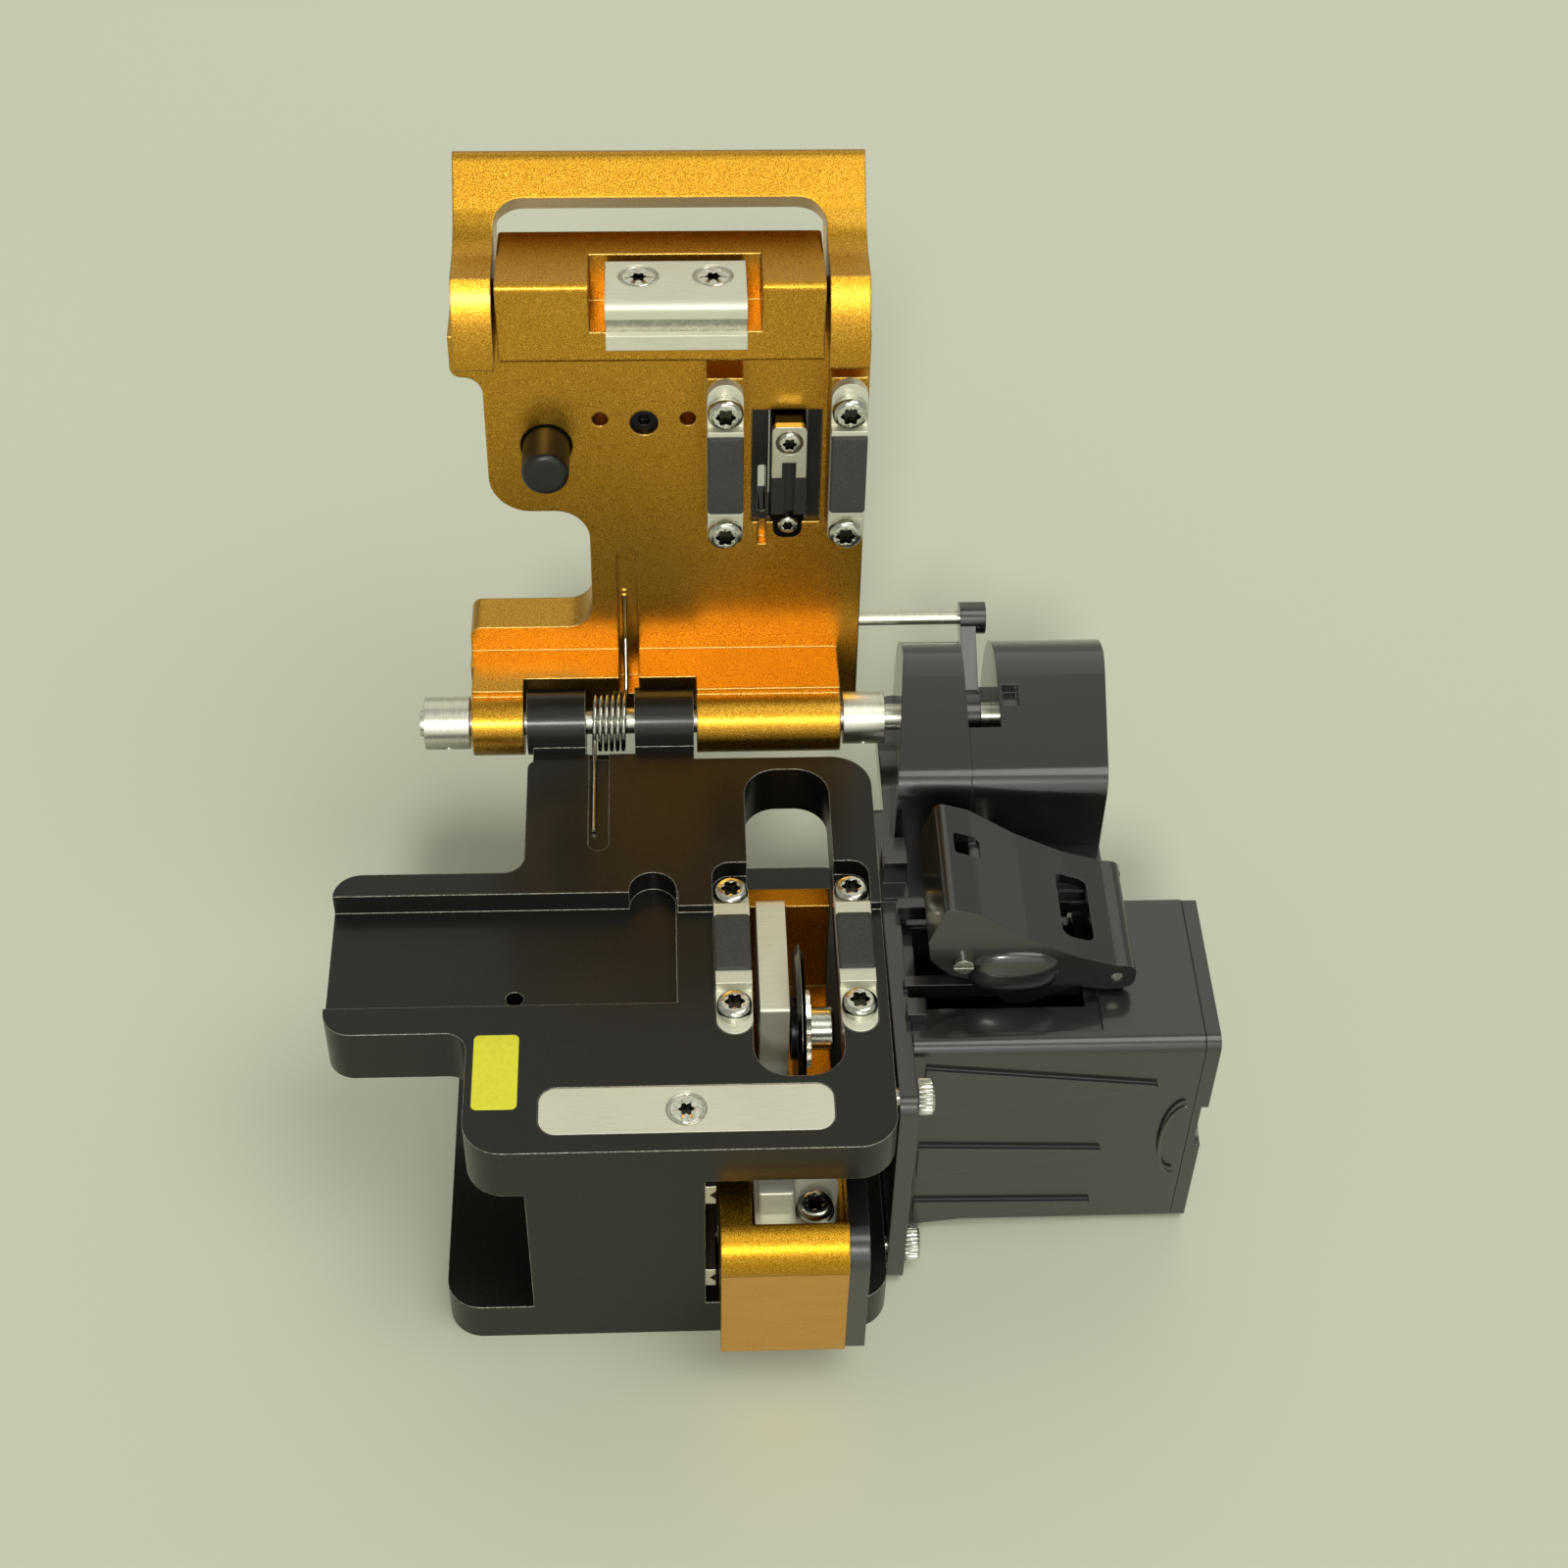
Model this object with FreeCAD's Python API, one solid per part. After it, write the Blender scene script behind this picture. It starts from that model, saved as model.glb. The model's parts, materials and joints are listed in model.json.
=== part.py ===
"""Fibre cleaver: black base with a tray deck, gold lid on a cross hinge, gold blade slider,
and a black off-cut collector with feed rollers on the right side.

Layout: X to the right, Y to the back, Z up, in millimetres. Everything is laid out from the
front face of the base (Y = 0) and the left wall of the slider channel (X = 0). The last step
moves the whole layout so that the origin is the centre of the underside of the foot.
The lid is laid out flat in its own frame (x, u, w): u runs along the lid from the hinge axis,
w is the normal of its inner face, and is then stood up on the hinge.
"""
import FreeCAD, Part
import math
import os

V = FreeCAD.Vector
os.makedirs("parts", exist_ok=True)

# ---------------------------------------------------------------- fits and clearances
RUNNING = 0.05          # radial running clearance of pins and shafts
SCREW_FIT = 0.05        # radial clearance of a screw shank in its hole
AIR = 0.3               # gap between faces that pass or nearly meet
INLAY = 0.1             # gap round a plate let into a pocket

# ---------------------------------------------------------------- base
FOOT_LEFT = -37.0
FOOT_RIGHT = 26.4
FOOT_DEPTH = 82.5
FOOT_THICK = 7.6
FOOT_NARROW_Y = 58.0    # behind this the foot is only as wide as the rear deck
FOOT_CORNER = 5.0
DECK_TOP = 45.3         # front deck
DECK_STEP = 1.5         # the rear deck stands higher by this
DECK_THICK = 7.3        # over the slider channel
DECK_LEFT = -32.5
DECK_RIGHT = 26.1
DECK_CORNER = 5.4
GRIP_CEILING = 35.0     # underside of the deck left of the web
REAR_LEFT = -25.3
REAR_EDGE = 70.4
STEP_Y = 41.4
WEB_LEFT = -24.5
WING_LEFT = -52.5
WING_FRONT = 20.3
WING_BACK = 48.2
WING_THICK = 9.8
WING_CORNER = 4.0
TRAY_DEPTH = 2.2
TRAY_FRONT = 25.0
TRAY_BACK = 44.1
TRAY_RIGHT = -3.4
NOTCH_X = -6.7
NOTCH_RADIUS = 3.4
HOLDER_HOLE_X = -26.2
HOLDER_HOLE_Y = 27.8
HOLDER_HOLE_RADIUS = 1.25
SLOT_LEFT = 7.0
SLOT_RIGHT = 19.6
SLOT_FRONT = 12.0
SLOT_BACK = 67.9
SLOT_CORNER = 5.0
STRIKE_LEFT = -22.3
STRIKE_RIGHT = 17.6
STRIKE_FRONT = 3.0
STRIKE_BACK = 10.6
STRIKE_THICK = 2.0
STRIKE_CORNER = 2.4
STRIKE_SCREW_X = -2.4
STRIKE_SCREW_Y = 6.9

# ---------------------------------------------------------------- screws
CLAMP_SCREW_HEAD = 2.5      # head radius of the clamp screws
CLAMP_SCREW_TALL = 1.6
CLAMP_SCREW_SHANK = 1.25
CLAMP_SCREW_LONG = 4.5
CSK_HEAD = 2.75             # head radius of the countersunk screws
CSK_SHANK = 1.5
CSK_LONG = 6.0
RECESS_RADIUS = 1.0         # star recess, drawn as a six-sided socket
RECESS_DEEP = 0.9

# ---------------------------------------------------------------- fibre clamps
CLAMP_LENGTH = 28.0
CLAMP_WIDTH = 5.1
CLAMP_Y = 33.3              # middle of a clamp bar
CLAMP_LEFT_X = 4.55
CLAMP_RIGHT_X = 21.95
CLAMP_BAR_THICK = 1.7
CLAMP_RISE = 1.6            # raised middle of the bar
CLAMP_RISE_LENGTH = 14.6
CLAMP_RISE_Y = 34.2
PAD_LENGTH = 10.0
PAD_PROUD = 0.5
PAD_TOP = 47.5              # height of the fibre
CLAMP_SCREW_PITCH = 21.0
CLAMP_SCREW_MID = 33.9
UPPER_PAD_LENGTH = 13.0
WASHER_THICK = 0.4

# ---------------------------------------------------------------- hinge
HINGE_Y = 78.0
HINGE_Z = 47.4
KNUCKLE_RADIUS = 5.0
PIN_RADIUS = 2.0
PIN_LEFT = -41.6
BASE_KNUCKLE_LEFT = -25.4
BASE_KNUCKLE_RIGHT = -0.3
SPRING_WINDOW_LEFT = -16.6
SPRING_WINDOW_RIGHT = -9.2
LID_KNUCKLE_LEFT = -33.6
LID_KNUCKLE_RIGHT = 21.9
KNUCKLE_GAP = 0.5
COLLAR_RADIUS = 4.0
COLLAR_LEFT_LENGTH = 6.8
COLLAR_RIGHT_LENGTH = 6.3
SPRING_WIRE = 0.35
SPRING_COIL = 4.35
SPRING_TURNS = 5.5
SPRING_PITCH = 0.88
SPRING_STEPS = 12           # straight pieces to a turn of the coil
LID_LEAN = 5.0              # the open lid leans back past upright

# ---------------------------------------------------------------- lid
LID_LEFT = -34.0
LID_RIGHT = 25.2
LID_INNER = -9.8            # w of the inner face
LID_OUTER = -17.0           # w of the outer face
LID_END = 74.5
LID_BOTTOM = -3.0
LID_LEDGE = 6.1
LID_KNUCKLE_AIR = 1.5       # the lid clears the base knuckles by this
LOBE_LEFT = -29.6
LOBE_TOP = 55.6
NOTCH_TOP = 32.3
NOTCH_BOTTOM = 10.6
NOTCH_RIGHT = -15.3
LOBE_CORNER = 6.0
BLOCK_LEFT = -26.6
BLOCK_RIGHT = 18.2
BLOCK_FACE = -2.8           # w of the end block's inner face
BLOCK_BOTTOM = 62.3
POCKET_LEFT = -14.0
POCKET_RIGHT = 9.6
POCKET_BACK = -11.0
POCKET_BOTTOM = 67.2
PEDESTAL_WIDTH = 6.3
ANVIL_OPEN_LEFT = 8.6
ANVIL_OPEN_RIGHT = 18.6
ANVIL_OPEN_LOW = 29.9
ANVIL_OPEN_HIGH = 49.7
PLUNGER_X = -21.0
PLUNGER_U = 43.8
PLUNGER_RADIUS = 3.4
PLUNGER_TOP = -2.2
PLUNGER_TRAVEL = 2.6
ADJUST_X = -6.9
ADJUST_U = 47.6
ADJUST_PITCH = 12.6
LID_HOLE_RADIUS = 1.15
GROOVE_WIDTH = 3.0
LID_GROOVE_X = -10.0
LID_GROOVE_TOP = 25.2
BASE_GROOVE_X = -14.6
BASE_GROOVE_FRONT = 52.2
GROOVE_DEEP = 1.2

# ---------------------------------------------------------------- lid handle
HANDLE_LEFT = -32.6
HANDLE_RIGHT = 24.3
HANDLE_ARM = 5.5
HANDLE_FOOT_LOW = 62.5
HANDLE_FOOT_FACE = -0.6
HANDLE_FOOT_CURVE = 16.0
HANDLE_BEND = 10.0
HANDLE_BEND_W = -10.1
HANDLE_SLOPE = 42.0
HANDLE_THICK = 8.8
HANDLE_REACH = 8.3          # length of the sloping face of the bow
HANDLE_BAR = 6.85
WINDOW_CORNER = 4.0

# ---------------------------------------------------------------- magnet
MAGNET_LEFT = -11.7
MAGNET_RIGHT = 7.4
POLE_THICK = 2.3
MAGNET_THICK = 2.5
MAGNET_SHY = 1.2            # the magnet lies back from the pole faces
MAGNET_REAR = -9.4
MAGNET_SCREW_PITCH = 10.1
MAGNET_SCREW_W = -5.6

# ---------------------------------------------------------------- anvil
ANVIL_LEFT = 11.3
ANVIL_RIGHT = 16.3
ANVIL_FACE = -6.0
ANVIL_REAR = -15.0
ANVIL_CLIP_LOW = 41.5
ANVIL_HIGH = 49.2
ANVIL_PAD_LOW = 34.0
ANVIL_LOW = 30.6
ANVIL_TRAVEL = 5.4

# ---------------------------------------------------------------- slider and blade
SLIDER_LEFT = 2.0
SLIDER_RIGHT = 19.5
SLIDER_BOTTOM = 8.0
SLIDER_FRONT = -8.5
SLIDER_BACK = 53.5
SLIDER_FLOOR_TOP = 17.0
SLIDER_WALL_TOP = 36.0
SLIDER_WALL_THICK = 3.4
SLIDER_TRAVEL = 15.0
KNOB_THICK = 5.0
KNOB_TOP = 32.9
POST_RIGHT = 6.3
POST_BACK = 8.0
SIDE_CAP_THICK = 2.8
RAIL_TALL = 4.0
RAIL_THICK = 2.7
RAIL_PROUD = 1.5
RAIL_FRONT = 1.0
RAIL_BACK = 69.0
UPPER_RAIL_Z = 33.2
LOWER_RAIL_Z = 12.6
VEE = 0.9
VEE_FIT = 0.1
BRACKET_LEFT = 8.2
BRACKET_RIGHT = 12.4
BRACKET_TOP = 43.0
BRACKET_BACK = 46.0
BRACKET_SCREW_X = 15.2
BRACKET_SCREW_Y = 1.9
BRACKET_WASHER_RADIUS = 2.7
BLADE_Y = 27.8
BLADE_RADIUS = 12.4
BLADE_BELOW_FIBRE = 0.0     # the blade's crown stands at the fibre's underside
BLADE_X = 13.9
BLADE_THICK = 1.2
RATCHET_RADIUS = 5.6
RATCHET_TEETH = 16
RATCHET_THICK = 0.9
HUB_RADIUS = 3.1
HUB_LENGTH = 3.4
BLADE_SHAFT = 1.5

# ---------------------------------------------------------------- collector
FLANGE_LEFT = 26.7
FLANGE_THICK = 2.5
FLANGE_FRONT = 7.4
FLANGE_BACK = 66.0
FLANGE_BOTTOM = 0.4
FLANGE_TOP = 43.6
SHELF_THICK = 3.6
BIN_RIGHT = 70.2
BIN_FRONT = 17.5
BIN_BACK = 44.5
BIN_BOTTOM = 0.6
BIN_TOP = 43.3
BIN_WALL = 1.6
BIN_EDGE = 2.0
BIN_MOUTH_RIGHT = 54.0
BIN_MOUTH_EDGE = 7.5
DOOR_THICK = 2.2
DOOR_PIN_RADIUS = 0.6
DOOR_KNUCKLE_RADIUS = 1.3
RIBS = ((1.3, 6.7, 6.0, 32.5), (13.3, 20.5, 19.1, 31.5), (28.6, 39.1, 34.2, 37.5))    # low, high, tip, reach
RIB_PROUD = 0.7
HOUSING_FRONT = 57.0
HOUSING_BACK = 89.5
HOUSING_BOTTOM = 40.5
HOUSING_SEAM = 40.2
HOUSING_RIGHT = 60.1
HOUSING_FLARE = 1.5         # the right side leans out by this towards the back
HOUSING_TAPER = 2.1         # the left side leans in by this
HOUSING_WALL = 1.6
HOUSING_CROWN = 11.5
HOUSING_EDGE = 4.0
HOUSING_RISE = 13.0         # slope of the housing's front roof, degrees
ARM_AIR = 0.7               # between the arm and the left half of the housing
ARM_THICK = 2.4
ARM_SLOT = 4.8
PINION_RADIUS = 2.1
PINION_THICK = 1.8
PEEP_WIDTH = 2.4
PEEP_LENGTH = 3.6
ARM_WIDTH = 3.2
ROD_RADIUS = 1.0
ROD_U = 8.8
ROD_W = -13.0
ARM_HEAD_RADIUS = 2.5
ARM_HEAD_LENGTH = 4.0
ARM_HUB_RADIUS = 4.0
COVER_FRONT = 27.0
COVER_BACK = 46.5
COVER_WALL = 1.3
COVER_PIN_X = 58.4
COVER_PIN_Z = 46.7
COVER_PIN_RADIUS = 0.8
COVER_LUG = 2.6
COVER_SCREW_X = 36.4
COVER_SCREW_Z = 50.6
COVER_SCREW_SHANK = 0.8
ROLLER_X = 42.6
ROLLER_Z = 44.2
ROLLER_RADIUS = 3.3
ROLLER_SHAFT = 1.2
PINCH_X = 48.3
PINCH_Z = 47.6
PINCH_RADIUS = 2.9
PINCH_AXLE = 0.9
THUMB_RADIUS = 2.45
THUMB_LENGTH = 2.5
THUMB_SHANK = 1.3
THUMB_Y = 11.5
THUMB_HIGH_Z = 40.6
THUMB_LOW_Z = 4.2


# ---------------------------------------------------------------- derived levels
REAR_TOP = DECK_TOP + DECK_STEP
DECK_UNDER = DECK_TOP - DECK_THICK
GRIP_TOP = DECK_TOP - WING_THICK
BAR_BOTTOM = PAD_TOP - PAD_PROUD - CLAMP_RISE - CLAMP_BAR_THICK
UPPER_FACE = HINGE_Z - PAD_TOP - AIR
UPPER_BAR_BACK = UPPER_FACE - PAD_PROUD - CLAMP_RISE - CLAMP_BAR_THICK
MAGNET_FACE = HINGE_Z - DECK_TOP - AIR
PIN_BORE = PIN_RADIUS + RUNNING
BLADE_Z = PAD_TOP - BLADE_RADIUS - BLADE_BELOW_FIBRE
BRACKET_LOW_TOP = SLIDER_FLOOR_TOP + 12.0
FLANGE_RIGHT = FLANGE_LEFT + FLANGE_THICK
ARM_LEFT = HOUSING_SEAM + ARM_AIR
HANDLE_IN_LEFT = HANDLE_LEFT + HANDLE_ARM
HANDLE_IN_RIGHT = HANDLE_RIGHT - HANDLE_ARM
ORIGIN_X = (FOOT_LEFT + FOOT_RIGHT) / 2
ORIGIN_Y = FOOT_DEPTH / 2


# ---------------------------------------------------------------- shape helpers
def box(x0, x1, y0, y1, z0, z1):
    return Part.makeBox(x1 - x0, y1 - y0, z1 - z0, V(x0, y0, z0))


def rod_x(x0, x1, y, z, r):
    return Part.makeCylinder(r, x1 - x0, V(x0, y, z), V(1, 0, 0))


def rod_y(y0, y1, x, z, r):
    return Part.makeCylinder(r, y1 - y0, V(x, y0, z), V(0, 1, 0))


def rod_z(z0, z1, x, y, r):
    return Part.makeCylinder(r, z1 - z0, V(x, y, z0), V(0, 0, 1))


def lift(plane, a, b, c):
    """Point from two coordinates in a named plane and the third along its normal."""
    if plane == "xy":
        return V(a, b, c)
    if plane == "xz":
        return V(a, c, b)
    return V(c, a, b)


def corner(p, q, s, r):
    """Tangent points and arc middle of a rounded corner q between p and s."""
    ax = p[0] - q[0]
    ay = p[1] - q[1]
    bx = s[0] - q[0]
    by = s[1] - q[1]
    la = math.hypot(ax, ay)
    lb = math.hypot(bx, by)
    ax, ay, bx, by = ax / la, ay / la, bx / lb, by / lb
    half = math.acos(max(-1.0, min(1.0, ax * bx + ay * by))) / 2
    reach = r / math.tan(half)
    mx = ax + bx
    my = ay + by
    lm = math.hypot(mx, my)
    out = r / math.sin(half) - r
    first = (q[0] + ax * reach, q[1] + ay * reach)
    middle = (q[0] + mx / lm * out, q[1] + my / lm * out)
    last = (q[0] + bx * reach, q[1] + by * reach)
    return first, middle, last


def prism(plane, points, lo, hi):
    """Straight-sided outline with rounded corners (a, b, radius), thickened from lo to hi."""
    edges = []
    n = len(points)
    stops = []
    for i in range(n):
        q = points[i]
        if q[2] > 0:
            stops.append(corner(points[i - 1], q, points[(i + 1) % n], q[2]))
        else:
            stops.append(((q[0], q[1]), None, (q[0], q[1])))
    for i in range(n):
        first, middle, last = stops[i]
        if middle is not None:
            a = lift(plane, first[0], first[1], lo)
            m = lift(plane, middle[0], middle[1], lo)
            b = lift(plane, last[0], last[1], lo)
            edges.append(Part.Arc(a, m, b).toShape())
        nxt = stops[(i + 1) % n][0]
        a = lift(plane, last[0], last[1], lo)
        b = lift(plane, nxt[0], nxt[1], lo)
        if (a - b).Length > 1e-4:
            edges.append(Part.makeLine(a, b))
    face = Part.Face(Part.Wire(edges))
    return face.extrude(lift(plane, 0, 0, hi - lo))


def slab(x0, x1, y0, y1, r, lo, hi):
    """Rectangular plate with four rounded corners."""
    return prism("xy", [(x0, y0, r), (x1, y0, r), (x1, y1, r), (x0, y1, r)], lo, hi)


def join(shapes):
    first = shapes[0]
    if len(shapes) == 1:
        return first
    return first.fuse(shapes[1:]).removeSplitter()


def group(shapes):
    return Part.makeCompound(shapes)


def socket(x, y, top, depth):
    """Six-sided driver recess."""
    pts = []
    for k in range(6):
        a = math.radians(60 * k)
        pts.append((x + RECESS_RADIUS * math.cos(a), y + RECESS_RADIUS * math.sin(a), 0))
    return prism("xy", pts, top - depth, top + 1)


def pan_screw(x, y, seat, head, tall, shank, length):
    """Domed screw standing on the level seat, shank downwards."""
    body = rod_z(seat, seat + tall, x, y, head)
    rim = body.Edges[0]
    for e in body.Edges:
        if e.Curve.TypeId == "Part::GeomCircle" and e.CenterOfMass.z > seat + tall / 2:
            rim = e
    body = body.makeFillet(tall * 0.6, [rim])
    body = body.fuse(rod_z(seat - length, seat, x, y, shank))
    return body.cut(socket(x, y, seat + tall, RECESS_DEEP))


def csk_screw(x, y, top):
    """Countersunk screw whose head lies flush with the level top."""
    cone = Part.makeCone(CSK_SHANK, CSK_HEAD, CSK_HEAD - CSK_SHANK, V(x, y, top - CSK_HEAD + CSK_SHANK - 0.2))
    land = rod_z(top - 0.2, top, x, y, CSK_HEAD)
    shank = rod_z(top - CSK_LONG, top - CSK_HEAD + CSK_SHANK - 0.2, x, y, CSK_SHANK)
    return join([shank, cone, land]).cut(socket(x, y, top, RECESS_DEEP))


def csk_seat(x, y, top):
    """Hole for a countersunk screw, a hair wider all round."""
    cone = Part.makeCone(CSK_SHANK + SCREW_FIT, CSK_HEAD + SCREW_FIT, CSK_HEAD - CSK_SHANK,
                         V(x, y, top - CSK_HEAD + CSK_SHANK - 0.2))
    land = rod_z(top - 0.2, top + 1, x, y, CSK_HEAD + SCREW_FIT)
    shank = rod_z(top - CSK_LONG - 0.5, top - CSK_HEAD + CSK_SHANK - 0.2, x, y, CSK_SHANK + SCREW_FIT)
    return join([shank, cone, land])


def ring(lo, hi, x, y, r, hole):
    return rod_z(lo, hi, x, y, r).cut(rod_z(lo - 1, hi + 1, x, y, hole))


def stand(shape):
    """Stand a shape of the lid's own flat frame up on the hinge, leaning back."""
    shape.rotate(V(0, 0, 0), V(1, 0, 0), 90 - LID_LEAN)
    shape.translate(V(0, HINGE_Y, HINGE_Z))
    return shape


def save(name, shape):
    shape.translate(V(-ORIGIN_X, -ORIGIN_Y, 0))
    shape.exportStep("parts/" + name + ".step")


def clamp_bar(x, mid, rise_mid, length, pad_length, level):
    """Clamp bar: low round ends, raised middle with a shallow seat for the pad."""
    r = CLAMP_WIDTH / 2
    bar = slab(x - r, x + r, mid - length / 2, mid + length / 2, r - 0.05, level, level + CLAMP_BAR_THICK)
    top = level + CLAMP_BAR_THICK + CLAMP_RISE
    hump = box(x - r, x + r, rise_mid - CLAMP_RISE_LENGTH / 2, rise_mid + CLAMP_RISE_LENGTH / 2,
               level + CLAMP_BAR_THICK, top)
    bar = join([bar, hump])
    seat = box(x - r - 1, x + r + 1, rise_mid - pad_length / 2, rise_mid + pad_length / 2, top - 0.9, top + 1)
    bar = bar.cut(seat)
    for side in (-1, 1):
        y = clamp_screw_y(mid, side)
        bar = bar.cut(rod_z(level - 1, top + 1, x, y, CLAMP_SCREW_SHANK + SCREW_FIT))
    return bar


def clamp_pad(x, rise_mid, pad_length, level):
    r = CLAMP_WIDTH / 2
    top = level + CLAMP_BAR_THICK + CLAMP_RISE
    return box(x - r, x + r, rise_mid - pad_length / 2, rise_mid + pad_length / 2, top - 0.9, top + PAD_PROUD)


def clamp_screw_y(mid, side):
    """Screw places of a clamp bar; the lid's bars are the mirror of the base's."""
    shift = CLAMP_SCREW_MID - CLAMP_Y
    if mid != CLAMP_Y:
        shift = -shift
    return mid + shift + side * CLAMP_SCREW_PITCH / 2


# ---------------------------------------------------------------- base
def base_block():
    foot = prism("xy", [(FOOT_LEFT, 0, FOOT_CORNER), (FOOT_RIGHT, 0, FOOT_CORNER),
                        (FOOT_RIGHT, FOOT_DEPTH, 6), (REAR_LEFT, FOOT_DEPTH, 4),
                        (REAR_LEFT, FOOT_NARROW_Y, 3), (FOOT_LEFT, FOOT_NARROW_Y, 4)], 0, FOOT_THICK)
    web = box(WEB_LEFT, 0, 0, REAR_EDGE, FOOT_THICK - 1, GRIP_TOP + 1)
    rear_web = box(WEB_LEFT, BASE_KNUCKLE_RIGHT, REAR_EDGE - 1, HINGE_Y - 1, FOOT_THICK - 1, REAR_TOP)
    deck = prism("xy", [(DECK_LEFT, 0, DECK_CORNER), (DECK_RIGHT, 0, DECK_CORNER),
                        (DECK_RIGHT, REAR_EDGE, 6), (REAR_LEFT, REAR_EDGE, 1.5),
                        (REAR_LEFT, WING_BACK, 3), (WING_LEFT, WING_BACK, WING_CORNER),
                        (WING_LEFT, WING_FRONT, WING_CORNER), (DECK_LEFT, WING_FRONT, 3)],
                 GRIP_TOP, DECK_TOP)
    raised = prism("xy", [(WING_LEFT, TRAY_BACK, 0), (TRAY_RIGHT + 0.3, TRAY_BACK, 0),
                          (TRAY_RIGHT + 0.3, STEP_Y, 0), (DECK_RIGHT, STEP_Y, 0),
                          (DECK_RIGHT, REAR_EDGE, 6), (REAR_LEFT, REAR_EDGE, 1.5),
                          (REAR_LEFT, WING_BACK, 3), (WING_LEFT, WING_BACK, WING_CORNER)],
                   DECK_TOP - 1, REAR_TOP)
    knuckle = rod_x(BASE_KNUCKLE_LEFT, BASE_KNUCKLE_RIGHT, HINGE_Y, HINGE_Z, KNUCKLE_RADIUS)
    block = join([foot, web, rear_web, deck, raised, knuckle])
    cuts = [box(0, 40, -1, 90, FOOT_THICK, DECK_UNDER)]
    cuts.append(box(WING_LEFT - 1, TRAY_RIGHT, TRAY_FRONT, TRAY_BACK, DECK_TOP - TRAY_DEPTH, 60))
    cuts.append(rod_z(DECK_TOP - TRAY_DEPTH, 60, NOTCH_X, TRAY_BACK + 0.3, NOTCH_RADIUS))
    cuts.append(rod_z(GRIP_TOP - 1, DECK_TOP, HOLDER_HOLE_X, HOLDER_HOLE_Y, HOLDER_HOLE_RADIUS))
    cuts.append(slab(SLOT_LEFT, SLOT_RIGHT, SLOT_FRONT, SLOT_BACK, SLOT_CORNER, DECK_UNDER - 1, 60))
    cuts.append(slab(STRIKE_LEFT - INLAY, STRIKE_RIGHT + INLAY, STRIKE_FRONT - INLAY, STRIKE_BACK + INLAY,
                     STRIKE_CORNER + INLAY, DECK_TOP - STRIKE_THICK, 60))
    cuts.append(rod_z(DECK_TOP - 8, DECK_TOP, STRIKE_SCREW_X, STRIKE_SCREW_Y, CSK_SHANK + SCREW_FIT))
    half = CLAMP_WIDTH / 2 + INLAY
    front = CLAMP_Y - CLAMP_LENGTH / 2 - INLAY
    back = CLAMP_Y + CLAMP_LENGTH / 2 + 2.2
    for x in (CLAMP_LEFT_X, CLAMP_RIGHT_X):
        cuts.append(slab(x - half, x + half, front, back, half - 0.05, BAR_BOTTOM, 60))
        for side in (-1, 1):
            y = clamp_screw_y(CLAMP_Y, side)
            cuts.append(rod_z(DECK_UNDER - 1, 60, x, y, CLAMP_SCREW_SHANK + SCREW_FIT))
    cuts.append(box(SLOT_LEFT - 2.6, SLOT_RIGHT + 2.4, STEP_Y + 2.0, back, BAR_BOTTOM, 60))
    cuts.append(box(BASE_GROOVE_X - GROOVE_WIDTH / 2, BASE_GROOVE_X + GROOVE_WIDTH / 2,
                    BASE_GROOVE_FRONT + GROOVE_WIDTH / 2, REAR_EDGE + 2, REAR_TOP - GROOVE_DEEP, 60))
    cuts.append(rod_z(REAR_TOP - GROOVE_DEEP, 60, BASE_GROOVE_X, BASE_GROOVE_FRONT + GROOVE_WIDTH / 2,
                      GROOVE_WIDTH / 2))
    cuts.append(box(SPRING_WINDOW_LEFT, SPRING_WINDOW_RIGHT, REAR_EDGE + 1.2, 90, HINGE_Z - 6.4, 60))
    cuts.append(rod_x(-30, 5, HINGE_Y, HINGE_Z, PIN_BORE))
    for z in (UPPER_RAIL_Z, LOWER_RAIL_Z):
        cuts.append(box(RAIL_PROUD - RAIL_THICK - 1.2, 1, RAIL_FRONT, RAIL_BACK,
                        z - RAIL_TALL / 2, z + RAIL_TALL / 2))
    cuts.append(rod_x(DECK_RIGHT - 6, 40, THUMB_Y, THUMB_HIGH_Z, THUMB_SHANK + SCREW_FIT))
    cuts.append(rod_x(FOOT_RIGHT - 6, 40, THUMB_Y, THUMB_LOW_Z, THUMB_SHANK + SCREW_FIT))
    return block.cut(cuts)


def strike_plate():
    plate = slab(STRIKE_LEFT, STRIKE_RIGHT, STRIKE_FRONT, STRIKE_BACK, STRIKE_CORNER,
                 DECK_TOP - STRIKE_THICK, DECK_TOP)
    return plate.cut(csk_seat(STRIKE_SCREW_X, STRIKE_SCREW_Y, DECK_TOP))


def lower_clamps():
    bars = []
    pads = []
    screws = []
    washers = []
    seat = BAR_BOTTOM + CLAMP_BAR_THICK
    for x in (CLAMP_LEFT_X, CLAMP_RIGHT_X):
        bars.append(clamp_bar(x, CLAMP_Y, CLAMP_RISE_Y, CLAMP_LENGTH, PAD_LENGTH, BAR_BOTTOM))
        pads.append(clamp_pad(x, CLAMP_RISE_Y, PAD_LENGTH, BAR_BOTTOM))
        front = clamp_screw_y(CLAMP_Y, -1)
        back = clamp_screw_y(CLAMP_Y, 1)
        washers.append(ring(seat, seat + WASHER_THICK, x, front, CLAMP_SCREW_HEAD,
                            CLAMP_SCREW_SHANK + SCREW_FIT))
        screws.append(pan_screw(x, front, seat + WASHER_THICK, CLAMP_SCREW_HEAD, CLAMP_SCREW_TALL,
                                CLAMP_SCREW_SHANK, CLAMP_SCREW_LONG))
        screws.append(pan_screw(x, back, seat, CLAMP_SCREW_HEAD, CLAMP_SCREW_TALL,
                                CLAMP_SCREW_SHANK, CLAMP_SCREW_LONG))
    return group(bars), group(pads), group(screws), group(washers)


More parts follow.
